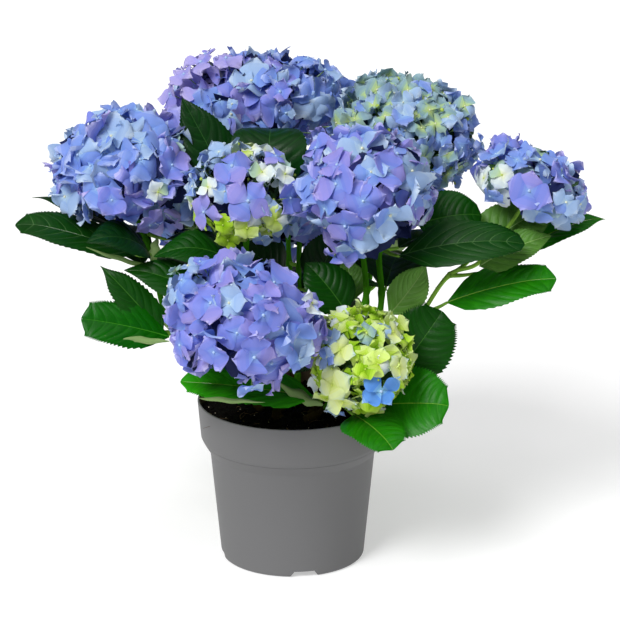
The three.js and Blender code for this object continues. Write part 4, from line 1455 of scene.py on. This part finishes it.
def drains():
    """The cutters of the drain holes, between the notches."""
    outline = [on_circle(DRAIN["radius"], angle) for angle in around(DRAIN["segments"])]
    for i in range(DRAIN["count"]):
        turn = math.radians(NOTCH["first"]) + (i + 0.5) / DRAIN["count"] * ROUND
        cutter = prism(f"drain_{i}", outline, DRAIN["depth"] * POT["wall"])
        low = (POT["floor_height"] - DRAIN["start"] * POT["wall"]) * MM
        cutter.location = (*on_circle(DRAIN["ring"] * MM, turn), low)
        cutter.rotation_euler = (-math.pi / 2, 0, 0)
        cutter.scale = (1, 1, -1)
        yield cutter


def pot():
    body = placed("pot_shell", mesh_of("pot_shell", *lathe(pot_profile(), POT["segments"])), "pot", "pot")
    cutters = [*notches(), *drains()]
    for cutter in cutters:
        cut = body.modifiers.new(cutter.name, "BOOLEAN")
        cut.operation, cut.solver, cut.object = "DIFFERENCE", "EXACT", cutter
    bpy.context.view_layer.update()
    shaped = bpy.data.meshes.new_from_object(body.evaluated_get(bpy.context.evaluated_depsgraph_get()))
    body.modifiers.clear()
    body.data = shaped
    for cutter in cutters:
        bpy.data.objects.remove(cutter)
    shaped.materials.clear()
    for name in ("pot_outside", "pot_inside"):
        shaped.materials.append(material(name))
    for face in shaped.polygons:
        middle, normal = face.center, face.normal
        inward = middle.x * normal.x + middle.y * normal.y < 0
        face.material_index = int(inward and middle.z > POT["floor_height"] * MM)
    shaped.shade_smooth()
    shaped.set_sharp_from_angle(angle=math.radians(POT["sharp"]))


def soil_height(x, y):
    """The lumpy top of the potting soil."""
    place = Vector((x, y, 0))
    lump = SOIL["lump"] * noise.noise(place / SOIL["lump_size"])
    return SOIL_TOP + lump + SOIL["grain"] * noise.noise(place / SOIL["grain_size"])


def on_soil(flat, above=0.0):
    """Points on the soil over points of its plan."""
    return np.column_stack([flat, np.array([soil_height(*p) for p in flat]) + above])


def spread_on_soil(random, top_radius, share, count):
    """Evenly spread points of the soil's plan."""
    turn, radius = random.uniform(0, ROUND, count), top_radius * np.sqrt(random.uniform(0, share, count))
    return np.stack([radius * np.cos(turn), radius * np.sin(turn)], 1)


def soil():
    heap = Heap()
    inset = POT["wall"] + SOIL["gap"]
    rise = (SOIL_TOP - POT["band_height"]) / (POT["height"] - POT["band_height"])
    top_radius = mix(POT["band_radius"], POT["rim_radius"], rise) - inset
    turn = around(SOIL_GRID["segments"])
    rings = []
    for radius in np.linspace(SOIL["core"], top_radius, SOIL_GRID["rings"]):
        rings.append(on_soil([on_circle(radius, angle) for angle in turn]))
    for radius, height in (
        (POT["band_radius"] - inset - 1, POT["band_height"] + 1),
        (POT["body_radius"] - inset - SOIL["gap"], POT["body_height"] + POT["wall"] + 1),
        (POT["foot_radius"] - inset - SOIL["gap"], POT["floor_height"] + SOIL["gap"]),
        (SOIL["core"], POT["floor_height"] + SOIL["gap"]),
    ):
        rings.append([(*on_circle(radius, angle), height) for angle in turn])
    heap.add(np.array(rings), grid(len(rings), len(turn), wrap=True)[:, ::-1], heap.slot("compost"))
    random = np.random.RandomState(SOIL["seed"])
    for slot, count, low, high in SOIL_BITS:
        middles = on_soil(spread_on_soil(random, top_radius, SOIL_SPREAD["bits"], count))
        outs = unit(random.normal(0, SOIL_SPREAD["lean"], (count, 3)) + UP)
        add_beads(heap, middles, outs, random.uniform(low, high, count), heap.slot(slot))
    count = FIBRE["count"]
    starts = spread_on_soil(random, top_radius, SOIL_SPREAD["fibres"], count)
    ends = starts + random.normal(0, FIBRE["reach"], (count, 2))
    starts, ends = on_soil(starts, FIBRE["above"]), on_soil(ends, FIBRE["above"])
    controls = mix(starts, ends, 0.5) + random.normal(0, FIBRE["sway"], (count, 3)) + UP * FIBRE["rise"]
    add_strands(heap, starts, controls, ends, FIBRE["thick"], FIBRE["thin"], "fibre")
    heap.piece("soil_fill", "soil", "soil")


# Materials


def linear(colour):
    """A colour of 0 to 255 as light."""
    share = np.array(colour) / 255
    return np.where(share <= 0.04045, share / 12.92, ((share + 0.055) / 1.055) ** 2.4)


def colour_of(name):
    """The finish and the colour of a material's name."""
    family, _, ring = name.rpartition("_")
    if family in FAMILIES:
        keys = np.array(FAMILIES[family].colours, float)
        share = int(ring) / (RINGS - 1) * (len(keys) - 1)
        return "petal", [np.interp(share, range(len(keys)), channel) for channel in keys.T]
    return COLOURS[name]


def add_node(tree, kind, **numbers):
    """A node with its numbers set."""
    made = tree.nodes.new("ShaderNode" + kind)
    for name, value in numbers.items():
        made.inputs[name].default_value = value
    return made


def material(name):
    """The material of a name: its colour, mottled a little, and the relief and gloss of its finish."""
    if name in bpy.data.materials:
        return bpy.data.materials[name]
    finish_name, colour = colour_of(name)
    finish = FINISHES[finish_name]
    made = bpy.data.materials.new(name)
    made.use_nodes = True
    tree, link = made.node_tree, made.node_tree.links.new
    shader = tree.nodes["Principled BSDF"]
    shader.inputs["Roughness"].default_value = finish.roughness
    shader.inputs["Specular IOR Level"].default_value = finish.specular
    shader.inputs["Sheen Weight"].default_value = finish.sheen
    place = add_node(tree, "TexCoord")
    mottle = add_node(tree, "TexNoise", Scale=finish.mottle_scale, Detail=NOISE_DETAIL["mottle"])
    blend = add_node(tree, "Mix")
    blend.data_type = "RGBA"
    light, strength = linear(colour), finish.mottle * np.array(finish.tint)
    blend.inputs["A"].default_value = (*np.clip(light * (1 - strength), 0, 1), 1)
    blend.inputs["B"].default_value = (*np.clip(light * (1 + strength), 0, 1), 1)
    link(place.outputs["Object"], mottle.inputs["Vector"])
    link(mottle.outputs["Fac"], blend.inputs["Factor"])
    link(blend.outputs["Result"], shader.inputs["Base Color"])
    if finish.cells:
        relief = add_node(tree, "TexVoronoi", Scale=finish.bump_scale)
        relief.feature = "DISTANCE_TO_EDGE"
        height = relief.outputs["Distance"]
    else:
        relief = add_node(tree, "TexNoise", Scale=finish.bump_scale, Detail=NOISE_DETAIL["relief"])
        height = relief.outputs["Fac"]
    bump = add_node(tree, "Bump", Strength=finish.bump, Distance=finish.bump_depth * MM)
    link(place.outputs["Object"], relief.inputs["Vector"])
    link(height, bump.inputs["Height"])
    link(bump.outputs["Normal"], shader.inputs["Normal"])
    if finish.through:
        through = add_node(tree, "BsdfTranslucent")
        link(blend.outputs["Result"], through.inputs["Color"])
        both = add_node(tree, "MixShader", Fac=finish.through)
        link(shader.outputs["BSDF"], both.inputs[1])
        link(through.outputs["BSDF"], both.inputs[2])
        link(both.outputs["Shader"], tree.nodes["Material Output"].inputs["Surface"])
    return made


# The stage


def add_floor():
    half = FLOOR["half"]
    corners = [(-half, -half, 0), (half, -half, 0), (half, half, 0), (-half, half, 0)]
    floor = linked("floor", mesh_of("floor", corners, [(0, 1, 2, 3)]))
    floor.data.materials.append(material("floor"))
    shader = floor.data.materials[0].node_tree.nodes["Principled BSDF"]
    shader.inputs["Emission Color"].default_value = (1, 1, 1, 1)
    shader.inputs["Emission Strength"].default_value = LIGHT["floor_glow"]
    floor.location.z = -FLOOR["below"] * MM


def add_world():
    """A dim white sky that lights the plant, and a bright one that the camera sees."""
    world = bpy.data.worlds.new("studio")
    bpy.context.scene.world = world
    world.use_nodes = True
    tree, link = world.node_tree, world.node_tree.links.new
    sky = tree.nodes["Background"]
    sky.inputs["Color"].default_value = (1, 1, 1, 1)
    sky.inputs["Strength"].default_value = LIGHT["world"]
    shown = add_node(tree, "Background", Color=(1, 1, 1, 1), Strength=LIGHT["backdrop"])
    by_ray = add_node(tree, "MixShader")
    link(add_node(tree, "LightPath").outputs["Is Camera Ray"], by_ray.inputs["Fac"])
    link(sky.outputs["Background"], by_ray.inputs[1])
    link(shown.outputs["Background"], by_ray.inputs[2])
    link(by_ray.outputs["Shader"], tree.nodes["World Output"].inputs["Surface"])


def stage():
    """The floor, the sky, the lamps and the camera."""
    add_floor()
    add_world()
    for name, azimuth, elevation, strength, angle in SUNS:
        lamp = bpy.data.lights.new(name, "SUN")
        lamp.energy, lamp.angle = strength, math.radians(angle)
        turn, rise = math.radians(azimuth), math.radians(elevation)
        aim = -Vector((math.sin(turn) * math.cos(rise), -math.cos(turn) * math.cos(rise), math.sin(rise)))
        linked(name, lamp).rotation_euler = aim.to_track_quat("-Z", "Y").to_euler()
    lens = bpy.data.cameras.new("camera")
    lens.lens, lens.sensor_width, lens.clip_end = VIEW["lens"], VIEW["sensor"], CLIP_END
    camera = linked("camera", lens)
    camera.location = TARGET * MM + TO_CAMERA * VIEW["distance"] * MM
    camera.rotation_euler = Vector(-TO_CAMERA).to_track_quat("-Z", "Y").to_euler()
    bpy.context.scene.camera = camera
    bpy.context.scene.view_settings.view_transform = "Standard"


# The whole plant

stage()
pot()
soil()
leaves_of = foliage()
for number, shoot in enumerate(SHOOTS):
    random = np.random.RandomState(SHOOT_SEED + number)
    leaves = leaves_of[shoot.name]
    stems, blades, blossom = Heap(), Heap(), Heap()
    add_stems(stems, shoot, leaves, random)
    stems.piece("stems_" + shoot.name, "cane", "cane_" + shoot.name)
    for leaf in leaves:
        add_blade(blades, leaf, random)
    for curled in EDGES:
        if curled.shoot == shoot.name:
            add_edge(blades, curled)
    blades.piece("foliage_" + shoot.name, "leaf", "leaves_" + shoot.name)
    look = LOOKS[shoot.name]
    add_head(blossom, shoot, look, random)
    blossom.piece("blossom_" + shoot.name, look.slot, "bloom_" + shoot.name)
